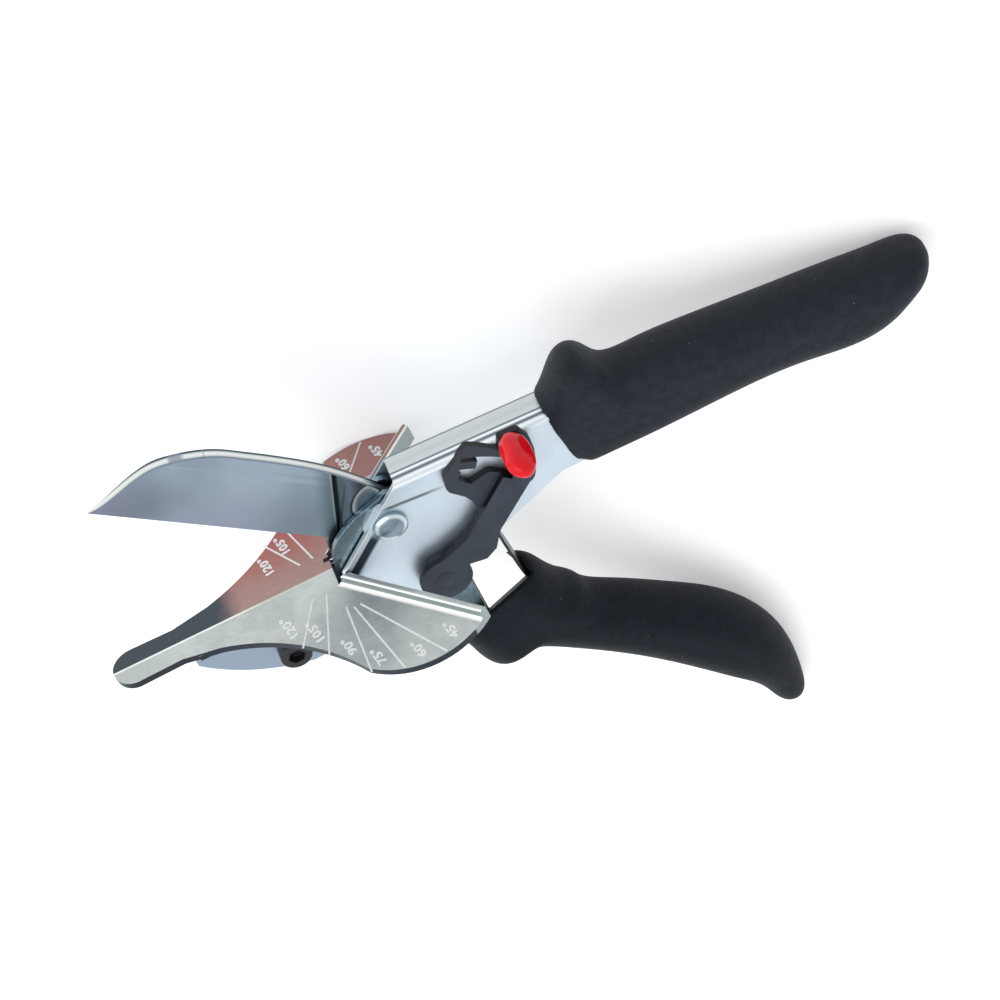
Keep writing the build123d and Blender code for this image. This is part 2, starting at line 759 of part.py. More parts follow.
def build_lock_spacer():
    """Washer between the near flank and the bar."""
    ring = post(lock_x, lock_y, lock_spacer_radius, channel_half_width, lock_high - run_gap)
    return ring - post(lock_x, lock_y, lock_rivet_radius + seat_gap, 0, lock_top)


def build_guide_stud():
    """Headed stud in the near flank that runs in the bar's slot."""
    x, y = stud_place()
    inner = channel_half_width - channel_wall
    top = lock_top + side_gap
    stud = post(x, y, stud_neck, inner, channel_half_width) + post(x, y, stud_radius, channel_half_width, top)
    return stud + post(x, y, stud_head_radius, top, top + stud_head_height)


# Opening spring

def spring_face(thick):
    """Side view of the leaf spring."""
    points = scaled(spring_shares, spring_x, -spring_top_drop)
    left = Spline(*[(x - thick / 2, y) for x, y in points])
    right = Spline(*[(x + thick / 2, y) for x, y in points])
    ends = [Line(left @ 0, right @ 0), Line(left @ 1, right @ 1)]
    return make_face([left, right, *ends])


def build_spring():
    """Leaf spring from the lower grip up into the upper lever."""
    return both_sides(spring_face(spring_thick), spring_half_width)


# Grips

def build_upper_grip():
    """Dipped grip over the upper lever, with a thumb guard in front."""
    sections = []
    for along, top, bottom, wide in upper_grip_shares:
        x = upper_grip_front + upper_grip_length * along
        high, low = upper_grip_height * top, upper_grip_height * bottom
        half = upper_grip_half * wide
        corner = min(half, (high - low) / 2) * grip_round_share
        tilt = radians(grip_mouth_tilt) if along < grip_mouth_share else 0
        plane = Plane(origin=(x, (high + low) / 2, 0), x_dir=(0, 0, 1), z_dir=(cos(tilt), sin(tilt), 0))
        sections.append(plane * RectangleRounded(half * 2, high - low, corner))
    grip = loft(sections)
    return grip - both_sides(upper_room_face(), channel_half_width + seat_gap)


def upper_room_face():
    """Outline of the channel inside the upper grip."""
    front = upper_grip_front - upper_grip_half
    fall = (web_top - web_top_mid) / (web_mid_x - web_front)
    high = web_top_mid + fall * (web_mid_x - front)
    rise = (flank_corner_drop - flank_drop) / (flank_mid_x - flank_corner_x)
    low = flank_drop + rise * (flank_mid_x - front)
    points = [(front, high + seat_gap), (web_mid_x, web_top_mid + seat_gap),
              (channel_tail + seat_gap, web_top_tail + seat_gap),
              (channel_tail + seat_gap, -flank_drop_tail - seat_gap),
              (flank_mid_x, -flank_drop - seat_gap), (front, -low - seat_gap)]
    return make_face(Polyline(*points, close=True).edges())


def mouth_cut():
    """Sloped block that takes the far side of the lower grip's mouth away."""
    corners = [(mouth_cut_x + u * mouth_cut_length, v * mouth_cut_length - mouth_cut_drop)
               for u, v in mouth_cut_shares]
    flat = Pos(0, 0, mouth_cut_level) * make_face(Polyline(*corners, close=True).edges())
    return extrude(flat, mouth_cut_length, dir=mouth_cut_way_shares, both=True)


def build_lower_grip():
    """Dipped grip over the lower lever, flared at its mouth."""
    sections = []
    for (u, v, tall, wide), angle in zip(lower_grip_shares, lower_grip_angles):
        along = (cos(radians(angle)), sin(radians(angle)), 0)
        half = lower_grip_half * wide
        height = lower_grip_height * tall * 2
        corner = min(half, height / 2) * grip_round_share
        plane = Plane(origin=(lower_grip_x * u, -lower_grip_drop * v, 0), x_dir=(0, 0, 1), z_dir=along)
        sections.append(plane * RectangleRounded(half * 2, height, corner))
    grip = loft(sections)
    room = offset(lever_face(), seat_gap)
    grip -= both_sides(room, lever_half_width + seat_gap)
    grip -= both_sides(spring_face(spring_thick + seat_gap * 2), spring_half_width + seat_gap)
    return grip - mouth_cut()


# Assembly

pieces = {
    "upper_lever": build_upper_lever(),
    "upper_grip": build_upper_grip(),
    "angle_table": build_angle_table(),
    "table_screws": build_table_screws(),
    "table_nuts": build_table_nuts(),
    "stop_bush": build_stop_bush(),
    "pivot_pin": build_pivot_pin(),
    "pivot_washer": build_pivot_washer(),
    "pivot_nut": build_pivot_nut(),
    "thrust_washers": build_thrust_washers(),
    "lock_rivet": build_lock_rivet(),
    "lock_spacer": build_lock_spacer(),
    "guide_stud": build_guide_stud(),
    "lower_lever": build_lower_lever(),
    "blade": build_blade(),
    "blade_rivets": build_blade_rivets(),
    "lower_grip": build_lower_grip(),
    "catch_stud": build_catch_stud(),
    "opening_spring": build_spring(),
    "lock_bar": build_lock_bar(),
    "lock_cap": build_lock_cap(),
}

# The tool comes to rest on the far wing's edge and the ends of both grips.
lying = Plane(origin=(0, 0, 0), x_dir=(1, 0, 0), z_dir=rest_up_shares).location.inverse()
groups = {}
for name, shape in pieces.items():
    solids = shape if isinstance(shape, list) else [shape]
    groups[name] = [s.moved(lying) for solid in solids for s in solid.solids()]

boxes = [solid.bounding_box() for group in groups.values() for solid in group]
low = [min(tuple(box.min)[i] for box in boxes) for i in range(3)]
high = [max(tuple(box.max)[i] for box in boxes) for i in range(3)]
shift = Pos(-(low[0] + high[0]) / 2, -(low[1] + high[1]) / 2, -low[2])

for name, group in groups.items():
    placed = [solid.moved(shift) for solid in group]
    export_step(Compound(children=placed), f"parts/{name}.step")
    print(name, len(placed), [round(solid.volume, 1) for solid in placed], all(s.is_valid for s in placed))


def laid(x, y, z):
    """Place of a point of the tool on the lying part."""
    return (shift * lying * Pos(x, y, z)).position


def told(label, x, y, z, towards=(0, 0, 1)):
    """Print a place and a direction of the lying part."""
    start = laid(x, y, z)
    way = laid(x + towards[0], y + towards[1], z + towards[2]) - start
    print(label, [round(v, 3) for v in start], [round(v, 5) for v in way])


fall = radians(table_fall_angle)
wing_x = -table_back
wing_z = (table_half_width + channel_half_width) / 2
told("blade pivot", 0, 0, 0)
told("lock pivot", lock_x, lock_y, lock_high)
told("table face", wing_x, -table_drop - wing_z * sin(fall), wing_z * cos(fall), (0, cos(fall), sin(fall)))
told("tool x", 0, 0, 0, (1, 0, 0))
told("tool y", 0, 0, 0, (0, 1, 0))
print("size", [round(high[i] - low[i], 2) for i in range(3)])
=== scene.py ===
"""Mitre shears: finishes, scale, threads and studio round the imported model."""
import json
import logging
import math
from dataclasses import dataclass, field
from enum import Enum
from functools import reduce
from typing import Iterable, NamedTuple, Optional, Sequence, Union

import bmesh
import bpy
from mathutils import Matrix, Vector


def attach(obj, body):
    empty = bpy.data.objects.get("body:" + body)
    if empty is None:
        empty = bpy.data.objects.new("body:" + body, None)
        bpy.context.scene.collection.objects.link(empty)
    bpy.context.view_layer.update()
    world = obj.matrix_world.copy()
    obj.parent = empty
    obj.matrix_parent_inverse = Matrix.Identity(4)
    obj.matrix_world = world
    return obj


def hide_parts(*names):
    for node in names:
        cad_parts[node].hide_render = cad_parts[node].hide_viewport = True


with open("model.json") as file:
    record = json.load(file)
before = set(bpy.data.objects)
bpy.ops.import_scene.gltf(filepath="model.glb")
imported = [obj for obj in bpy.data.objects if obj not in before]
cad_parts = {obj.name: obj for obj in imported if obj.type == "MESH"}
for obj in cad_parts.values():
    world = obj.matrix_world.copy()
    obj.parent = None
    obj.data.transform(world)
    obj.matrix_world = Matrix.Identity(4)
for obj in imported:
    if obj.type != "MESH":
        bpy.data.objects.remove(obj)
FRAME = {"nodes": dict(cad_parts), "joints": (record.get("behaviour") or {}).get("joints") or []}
NODES: dict[str, bpy.types.Object] = FRAME["nodes"]
LOG = logging.getLogger("mitre_shears")
MM = 0.001
LOCK_PIVOT = (5.8, -23.0)  # along the tool's x and y from the blade pivot, in mm
NOISE_WIDE = (0.3, 0.7)  # nearly all of what a noise texture gives
NOISE_MIDDLE = (0.35, 0.65)  # the part of it that most of the surface has

Pair = tuple[float, float]
Triple = tuple[float, float, float]
Colour = tuple[float, float, float]
Socket = bpy.types.NodeSocket
Tone = Union[Socket, Colour]


class Body(Enum):
    """The moving bodies of the tool."""

    UPPER = "upper"
    LOWER = "lower"
    LOCK = "lock"


class Side(Enum):
    """Near side, towards the camera, or far side of the tool."""

    NEAR = 1
    FAR = -1


# Place and axes of the tool in the part's frame


@dataclass(frozen=True)
class ToolFrame:
    """Blade pivot and axes: x towards the grips, y away from the table, z out of the near side."""

    origin: Vector
    x: Vector
    y: Vector
    z: Vector

    @classmethod
    def from_joints(cls, joints: Sequence[dict]) -> "ToolFrame":
        """Works the axes out from the two hinges.

        Args:
            joints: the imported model's joints.

        Returns:
            The tool's frame in metres.
        """
        places = {joint["name"]: joint for joint in joints}
        blade = places["blade_hinge"]
        pivot = Vector(blade["pos_m"])
        z = Vector(blade["axis"]).normalized()
        across = Vector(places["lock_hinge"]["pos_m"]) - pivot
        across -= z * across.dot(z)
        x = (across * LOCK_PIVOT[0] - z.cross(across) * LOCK_PIVOT[1]).normalized()
        return cls(pivot, x, z.cross(x).normalized(), z)

    def turn(self) -> Matrix:
        """Matrix that turns the tool's directions to the part's."""
        return Matrix((self.x, self.y, self.z)).transposed()

    def matrix(self) -> Matrix:
        """Matrix from the tool's millimetres to the part's metres."""
        return Matrix.Translation(self.origin) @ self.turn().to_4x4() @ Matrix.Scale(MM, 4)

    def reading(self) -> tuple[Vector, Vector]:
        """Turn and shift of a Mapping node that reads the tool's millimetres from Object coordinates."""
        turn = Matrix((self.x, self.y, self.z))
        return Vector(turn.to_euler("XYZ")), -(turn @ self.origin) / MM


# Node trees


def solid(colour: Colour) -> tuple[float, float, float, float]:
    """Colour with full alpha."""
    return (*colour, 1.0)


class NodeBench:
    """Adds and joins the nodes of one tree."""

    def __init__(self, tree: bpy.types.NodeTree) -> None:
        """Starts on an emptied tree."""
        self.tree = tree
        tree.nodes.clear()

    def feed(self, target: Socket, value: object) -> None:
        """Joins a socket to an input, or sets the input to a plain value.

        Args:
            target: the input.
            value: an output socket, or the plain value.
        """
        if isinstance(value, Socket):
            self.tree.links.new(value, target)
        else:
            target.default_value = value

    def add(self, kind: str, *values: object, **named: object) -> bpy.types.Node:
        """Adds a node and fills its inputs with sockets or plain values.

        Args:
            kind: the node's type.
            values: the first inputs, in order.
            named: inputs by name, with underscores for spaces.

        Returns:
            The node.
        """
        node = self.tree.nodes.new(kind)
        for target, value in zip(node.inputs, values):
            self.feed(target, value)
        for name, value in named.items():
            self.feed(node.inputs[name.replace("_", " ")], value)
        return node

    def math(self, kind: str, *values: object) -> Socket:
        """Works a value out with a Math node.

        Args:
            kind: the node's operation.
            values: one or two values or sockets.

        Returns:
            The result.
        """
        node = self.add("ShaderNodeMath", *values)
        node.operation = kind
        return node.outputs["Value"]

    def dot(self, first: Socket, second: Sequence[float]) -> Socket:
        """Works out a dot product.

        Args:
            first: a vector socket.
            second: a plain vector.

        Returns:
            The product.
        """
        node = self.add("ShaderNodeVectorMath", first, second)
        node.operation = "DOT_PRODUCT"
        return node.outputs["Value"]

    def ramp(self, value: Socket, stops: Sequence[tuple[float, Colour]]) -> Socket:
        """Colour ramp.

        Args:
            value: place along the ramp, from 0 to 1.
            stops: place and colour of each stop.

        Returns:
            The colour.
        """
        node = self.add("ShaderNodeValToRGB", value)
        elements = node.color_ramp.elements
        while len(elements) < len(stops):
            elements.new(0.5)
        for element, (place, colour) in zip(elements, stops):
            element.position = place
            element.color = solid(colour)
        return node.outputs["Color"]


class ShaderBench(NodeBench):
    """Nodes of one material, whose patterns read the tool's millimetres."""

    def __init__(self, name: str, tool: ToolFrame) -> None:
        """Starts a material with one Principled shader.

        Args:
            name: the material's name.
            tool: the tool's frame.
        """
        self.material = bpy.data.materials.new(name)
        self.material.use_nodes = True
        super().__init__(self.material.node_tree)
        self.tool = tool
        self.shader = self.add("ShaderNodeBsdfPrincipled")
        self.add("ShaderNodeOutputMaterial", self.shader.outputs["BSDF"])
        turn, shift = tool.reading()
        mapping = self.add("ShaderNodeMapping", self.add("ShaderNodeTexCoord").outputs["Object"],
                           Location=shift, Rotation=turn, Scale=(1 / MM, 1 / MM, 1 / MM))
        self.place = mapping.outputs["Vector"]

    def drive(self, **values: object) -> None:
        """Joins or sets the shader's inputs, named with underscores for spaces."""
        for name, value in values.items():
            self.feed(self.shader.inputs[name.replace("_", " ")], value)

    def times(self, *values: object) -> Socket:
        """Product of values and sockets."""
        return reduce(lambda first, second: self.math("MULTIPLY", first, second), values)

    def plus(self, *values: object) -> Socket:
        """Sum of values and sockets."""
        return reduce(lambda first, second: self.math("ADD", first, second), values)

    def gap(self, value: Socket, target: object) -> Socket:
        """How far a value is from a target, either way."""
        return self.math("ABSOLUTE", self.math("SUBTRACT", value, target))

    def spread(self, value: Socket, low: float, high: float, to_low: float = 0.0, to_high: float = 1.0) -> Socket:
        """Smoothly maps a value from one range to another.

        Args:
            value: the value.
            low: start of its range.
            high: end of its range.
            to_low: result at the start.
            to_high: result at the end.

        Returns:
            The result.
        """
        node = self.add("ShaderNodeMapRange", value, From_Min=low, From_Max=high, To_Min=to_low, To_Max=to_high)
        node.interpolation_type = "SMOOTHSTEP"
        return node.outputs["Result"]

    def fade(self, value: Socket, low: float, high: float, most: float = 1.0) -> Socket:
        """Falls smoothly from most to 0 over a range."""
        return self.spread(value, low, high, most, 0.0)

    def window(self, value: Socket, rise: Pair, fall: Pair) -> Socket:
        """Rises from 0 to 1 over one range and falls back over another."""
        return self.times(self.spread(value, *rise), self.fade(value, *fall))

    def mix(self, factor: Socket, first: Tone, second: Tone) -> Socket:
        """Mixes two colours or colour sockets.

        Args:
            factor: share of the second.
            first: the colour at 0.
            second: the colour at 1.

        Returns:
            The mixture.
        """
        node = self.add("ShaderNodeMix", factor)
        node.data_type = "RGBA"
        for name, value in (("A", first), ("B", second)):
            target = next(s for s in node.inputs if s.name == name and s.type == "RGBA")
            self.feed(target, solid(value) if isinstance(value, tuple) else value)
        return next(s for s in node.outputs if s.type == "RGBA")

    def stretched(self, scale: Triple) -> Socket:
        """Stretches the pattern's place, for streaks.

        Args:
            scale: bumps per millimetre along each of the tool's axes.

        Returns:
            The place with each axis scaled.
        """
        node = self.add("ShaderNodeVectorMath", self.place, scale)
        node.operation = "MULTIPLY"
        return node.outputs["Vector"]

    def noise(self, scale: float, detail: float = 3.0, rough: float = 0.55, place: Optional[Socket] = None) -> Socket:
        """Noise texture.

        Args:
            scale: bumps per millimetre.
            detail: octaves.
            rough: strength of the finer octaves.
            place: coordinates, or the tool's own.

        Returns:
            The noise's value.
        """
        node = self.add("ShaderNodeTexNoise", Vector=place or self.place, Scale=scale, Detail=detail, Roughness=rough)
        return node.outputs["Fac"]

    def clouds(self, scale: float, detail: float, first: Tone, second: Tone) -> Socket:
        """Two colours that blend in soft clouds."""
        return self.mix(self.spread(self.noise(scale, detail), *NOISE_MIDDLE), first, second)

    def facing(self, axis: Vector) -> Socket:
        """How far a face looks along an axis, either way, from 0 to 1."""
        return self.math("ABSOLUTE", self.dot(self.add("ShaderNodeTexCoord").outputs["Normal"], axis))

    def axis(self, index: int) -> Socket:
        """One coordinate of the place in the tool's millimetres."""
        return self.add("ShaderNodeSeparateXYZ", self.place).outputs[index]

    def line(self, east: float, north: float, offset: float) -> Socket:
        """Distance past a straight line of the tool's plane."""
        return self.plus(self.times(self.axis(0), east), self.times(self.axis(1), north), offset)

    def bump(self, height: Socket, depth: float, under: Optional[Socket] = None, strength: float = 1.0) -> Socket:
        """Bump from a height, over an earlier bump where one is given.

        Args:
            height: the height, from 0 to 1.
            depth: how deep the height is, in mm.
            under: the earlier bump.
            strength: share of the bump that shows.

        Returns:
            The normal.
        """
        named = {"Normal": under} if under else {}
        node = self.add("ShaderNodeBump", Height=height, Distance=depth * MM, Strength=strength, **named)
        return node.outputs["Normal"]


# Finishes


@dataclass(frozen=True)
class MetalFinish:
    """A metal with faint cloudy tone, fine streaks and small handling marks."""

    name: str
    colour: Colour
    shade: Colour
    roughness: float = 0.28
    roughness_spread: float = 0.08
    metallic: float = 1.0
    specular: float = 0.5
    cloud: float = 0.06
    cloud_share: float = 0.7
    cloud_range: Pair = (0.38, 0.62)
    streak: Triple = (0.4, 6.0, 6.0)
    streak_depth: float = 0.004
    pit: float = 1.4
    pit_depth: float = 0.003

    def build(self, tool: ToolFrame) -> bpy.types.Material:
        """Joins tone, gloss and marks to the shader.

        Args:
            tool: the tool's frame.

        Returns:
            The material.
        """
        bench = ShaderBench(self.name, tool)
        streaks = self.streaks(bench)
        pits = bench.noise(self.pit, 5.0, 0.7)
        gloss = (self.roughness - self.roughness_spread, self.roughness + self.roughness_spread)
        bench.drive(Metallic=self.metallic, Specular_IOR_Level=self.specular, Base_Color=self.tone(bench),
                    Roughness=bench.spread(streaks, *NOISE_WIDE, *gloss),
                    Normal=bench.bump(pits, self.pit_depth, bench.bump(streaks, self.streak_depth)))
        return bench.material

    def streaks(self, bench: ShaderBench) -> Socket:
        """Fine streaks along the metal's grain."""
        return bench.noise(1.0, 3.0, 0.6, bench.stretched(self.streak))

    def tone(self, bench: ShaderBench) -> Socket:
        """Colour over the surface: faint clouds with the streaks in them.

        Args:
            bench: the material's nodes.

        Returns:
            The colour.
        """
        level = bench.plus(bench.times(bench.noise(self.cloud, 4.0), self.cloud_share),
                           bench.times(self.streaks(bench), 1.0 - self.cloud_share))
        return bench.mix(bench.spread(level, *self.cloud_range), self.colour, self.shade)


@dataclass(frozen=True)
class TableFinish(MetalFinish):
    """Satin zinc of the table: grey-green near wing; a reddish painted reflection on the far wing that turns dark as
    painted reflection at the front; painted highlights on the ridge and rolled rims; painted shade on the faces that
    stand up.
    """

    # Painted reflection on the far wing: red, fading to grey-rose.
    red_reflection: Colour = (0.36, 0.13, 0.115)
    faded_red_reflection: Colour = (0.34, 0.23, 0.21)
    # Painted highlight of the rolled rims and the ridge.
    lip_highlight: Colour = (0.82, 0.84, 0.80)
    # Painted shade of the faces that stand up; the dark grain streaks take it too.
    edge: Colour = (0.035, 0.045, 0.06)
    # Dark painted reflection at the front of the far wing.
    nose_reflection: Colour = (0.055, 0.07, 0.08)
    nose_end: Pair = (-46.0, -38.0)
    blotch: float = 0.09
    blotch_reach: float = 8.0
    warm_end: Pair = (-14.0, 3.0)
    warm_back: Pair = (-26.0, -10.0)
    warm_back_most: float = 0.6
    near_cloud: float = 0.12
    near_start: Pair = (-0.25, 0.2)
    # Place and half width of the ridge, which carries a painted highlight line.
    ridge: float = 0.25
    ridge_half: Pair = (0.12, 0.34)
    ridge_highlight_reach: tuple[float, ...] = (-46.0, -34.0, 0.8, 0.14)  # from and to in x, with the strength at each
    grain: Triple = (0.5, 3.0, 3.0)
    grain_range: Pair = (0.42, 0.62)
    grain_strength: float = 0.1
    flat_from: Pair = (0.9, 0.985)
    lying_from: Pair = (0.35, 0.55)
    # Painted shade of the fence's upright face.
    fence_face_shade: Colour = (0.34, 0.39, 0.39)
    fence_offset: float = 22.8
    fence_zone: float = 4.0

    def tone(self, bench: ShaderBench) -> Socket:
        """Colour of the wings' tops, the painted highlight on their rolled lips and the painted shade on the faces
        that stand up.

        Args:
            bench: the material's nodes.

        Returns:
            The colour.
        """
        along, across = bench.axis(0), bench.axis(2)
        lying = bench.facing(bench.tool.y)
        # A painted highlight where the top rolls over into the side.
        top = bench.mix(bench.spread(lying, *self.flat_from), self.lip_highlight, self.wings(bench, along, across))
        # Faces that stand up get painted shade, lighter on the fence.
        behind = bench.math("SUBTRACT", bench.plus(along, self.fence_offset), bench.math("ABSOLUTE", across))
        at_fence = bench.spread(bench.math("ABSOLUTE", behind), self.fence_zone, self.fence_zone + 1.0)
        upright_shade = bench.mix(at_fence, self.fence_face_shade, self.edge)
        return bench.mix(bench.spread(lying, *self.lying_from), upright_shade, top)

    def wings(self, bench: ShaderBench, along: Socket, across: Socket) -> Socket:
        """Colour of the two wings' tops, with the far wing's painted reflection, and the painted highlight of the
        ridge between them.

        Args:
            bench: the material's nodes.
            along: tool x.
            across: tool z.

        Returns:
            The colour.
        """
        blotch = bench.times(bench.noise(self.blotch, 3.0), self.blotch_reach)
        # The far wing's painted reflection: red out from the ridge, grey-rose near it and further back, and dark at
        # the front.
        red_reflection = bench.mix(bench.spread(bench.plus(across, blotch), *self.warm_end), self.red_reflection, self.faded_red_reflection)
        red_reflection = bench.mix(bench.spread(along, *self.warm_back, 0.0, self.warm_back_most), red_reflection, self.faded_red_reflection)
        far = bench.mix(bench.spread(bench.plus(along, blotch), *self.nose_end), self.nose_reflection, red_reflection)
        near = bench.clouds(self.near_cloud, 4.0, self.colour, self.shade)
        both = bench.mix(bench.spread(across, *self.near_start), far, near)
        grain = bench.noise(0.9, 4.0, 0.7, bench.stretched(self.grain))
        # Dark grain streaks, in the same colour as the painted shade of the upright faces.
        both = bench.mix(bench.spread(grain, *self.grain_range, 0.0, self.grain_strength), both, self.edge)
        # Painted highlight along the ridge, strongest towards the front.
        ridge = bench.fade(bench.gap(across, self.ridge), *self.ridge_half)
        return bench.mix(bench.times(ridge, bench.spread(along, *self.ridge_highlight_reach)), both, self.lip_highlight)


@dataclass(frozen=True)
class BladeFinish(MetalFinish):
    """Hollow-ground steel with painted shade in the crease before the bolster, a leaf-shaped scoop drawn in painted
    highlight and shade, and a spine banded in painted highlight and shade.
    """

    low_tone: Colour = (0.19, 0.215, 0.28)
    # Dark teal of the bolster, also the painted shade towards the plunge line.
    root_tone: Colour = (0.13, 0.19, 0.21)
    # Painted shade in the crease and in the dark outlines.
    crease: Colour = (0.012, 0.016, 0.02)
    lilac: Colour = (0.36, 0.38, 0.49)
    # Painted highlight along the spine.
    spine: Colour = (0.68, 0.69, 0.66)
    # Painted highlight at the plunge line, round the scoop and in the spine's bands.
    steel_highlight: Colour = (0.50, 0.52, 0.51)
    plunge: Triple = (1.022, -0.287, 12.5)
    plunge_edge: Pair = (-0.4, -0.3)
    drift: float = -0.011
    drift_cloud: float = 0.7
    drift_range: Pair = (0.3, 1.2)
    lilac_range: tuple[float, ...] = (0.4, 0.75, 0.0, 0.6)  # range of the noise, with the strength at each end
    root_shade: tuple[float, ...] = (-6.0, -0.8, 0.0, 0.7)  # from and to past the plunge, with the strength at each
    plunge_highlight_line: float = -0.6
    plunge_highlight_half: Triple = (0.08, 0.3, 0.7)  # inner and outer half width, and strength
    bolster_length: float = 9.0
    leaf: Pair = (-2.6, 7.4)
    leaf_half: Pair = (5.2, 3.2)
    leaf_turn: Pair = (0.64, 0.77)
    leaf_edge: Pair = (1.1, 1.3)
    leaf_scale: float = 0.8
    half_thickness: float = 1.6
    patch: tuple[Pair, Pair] = ((-39.0, -38.0), (-36.0, -34.5))
    patch_strength: float = 0.8
    flat_from: Pair = (0.5, 0.85)

    def tone(self, bench: ShaderBench) -> Socket:
        """Colour of the ground faces and, where the steel looks away from the sides, of the spine.

        Args:
            bench: the material's nodes.

        Returns:
            The colour.
        """
        along = bench.axis(0)
        past = bench.line(*self.plunge)
        sides = bench.mix(bench.spread(past, *self.plunge_edge),
                          self.ground(bench, along, past), self.bolster(bench, past))
        flat = bench.spread(bench.facing(bench.tool.z), *self.flat_from)
        return bench.mix(flat, self.back(bench, along), sides)

    def ground(self, bench: ShaderBench, along: Socket, past: Socket) -> Socket:
        """Colour of the ground face: a painted reflection that darkens towards the tip, painted shade towards the
        bolster and a painted highlight line where the grinding ends.

        Args:
            bench: the material's nodes.
            along: tool x.
            past: distance past the line where the grinding ends.

        Returns:
            The colour.
        """
        # Painted reflection that darkens the face towards the tip, in soft clouds.
        drift = bench.plus(bench.times(along, self.drift), bench.times(bench.noise(0.045, 2.0), self.drift_cloud))
        face = bench.mix(bench.spread(drift, *self.drift_range), self.colour, self.low_tone)
        face = bench.mix(bench.spread(bench.noise(0.03, 1.0), *self.lilac_range), face, self.lilac)
        # Painted shade towards the plunge line.
        face = bench.mix(bench.spread(past, *self.root_shade), face, self.root_tone)
        # Painted highlight along the line where the grinding ends.
        return bench.mix(bench.fade(bench.gap(past, self.plunge_highlight_line), *self.plunge_highlight_half), face, self.steel_highlight)

    def bolster(self, bench: ShaderBench, past: Socket) -> Socket:
        """Colour of the bolster in painted shade, and of the leaf-shaped scoop in it, drawn with a painted highlight
        ring and a dark painted shade outline.

        Args:
            bench: the material's nodes.
            past: distance past the line where the grinding ends.

        Returns:
            The colour.
        """
        # Painted shade across the bolster: dark in the crease, lighter in the middle, dark again at its far end.
        root = bench.ramp(bench.spread(past, 0.0, self.bolster_length), (
            (0.0, self.crease), (0.015, self.crease), (0.05, self.root_tone), (0.4, self.low_tone),
            (1.0, self.crease)))
        east, north = self.leaf_turn
        squares = []
        for (a, b), half in zip(((east, north), (-north, east)), self.leaf_half):
            reach = bench.line(a / half, b / half, -(a * self.leaf[0] + b * self.leaf[1]) / half)
            squares.append(bench.times(reach, reach))
        reach = bench.math("SQRT", bench.plus(*squares))
        # The scoop's shading is painted: lighter middle, painted highlight ring, then a dark painted shade outline.
        leaf = bench.ramp(bench.times(reach, self.leaf_scale), (
            (0.0, self.low_tone), (0.35, self.root_tone), (0.55, self.low_tone), (0.68, self.steel_highlight),
            (0.76, self.steel_highlight), (0.82, self.crease), (1.0, self.root_tone)))
        return bench.mix(bench.spread(reach, *self.leaf_edge), leaf, root)

    def back(self, bench: ShaderBench, along: Socket) -> Socket:
        """Colour of the spine, in bands of painted highlight and shade across its thickness, with one darker patch.

        Args:
            bench: the material's nodes.
            along: tool x.

        Returns:
            The colour.
        """
        level = bench.spread(bench.axis(2), -self.half_thickness, self.half_thickness)
        # Bands of painted highlight and shade across the spine's thickness.
        bands = bench.ramp(level, (
            (0.0, self.crease), (0.1, self.root_tone), (0.18, self.steel_highlight), (0.45, self.spine), (0.8, self.steel_highlight),
            (0.93, self.root_tone), (1.0, self.low_tone)))
        return bench.mix(bench.times(bench.window(along, *self.patch), self.patch_strength), bands, self.low_tone)


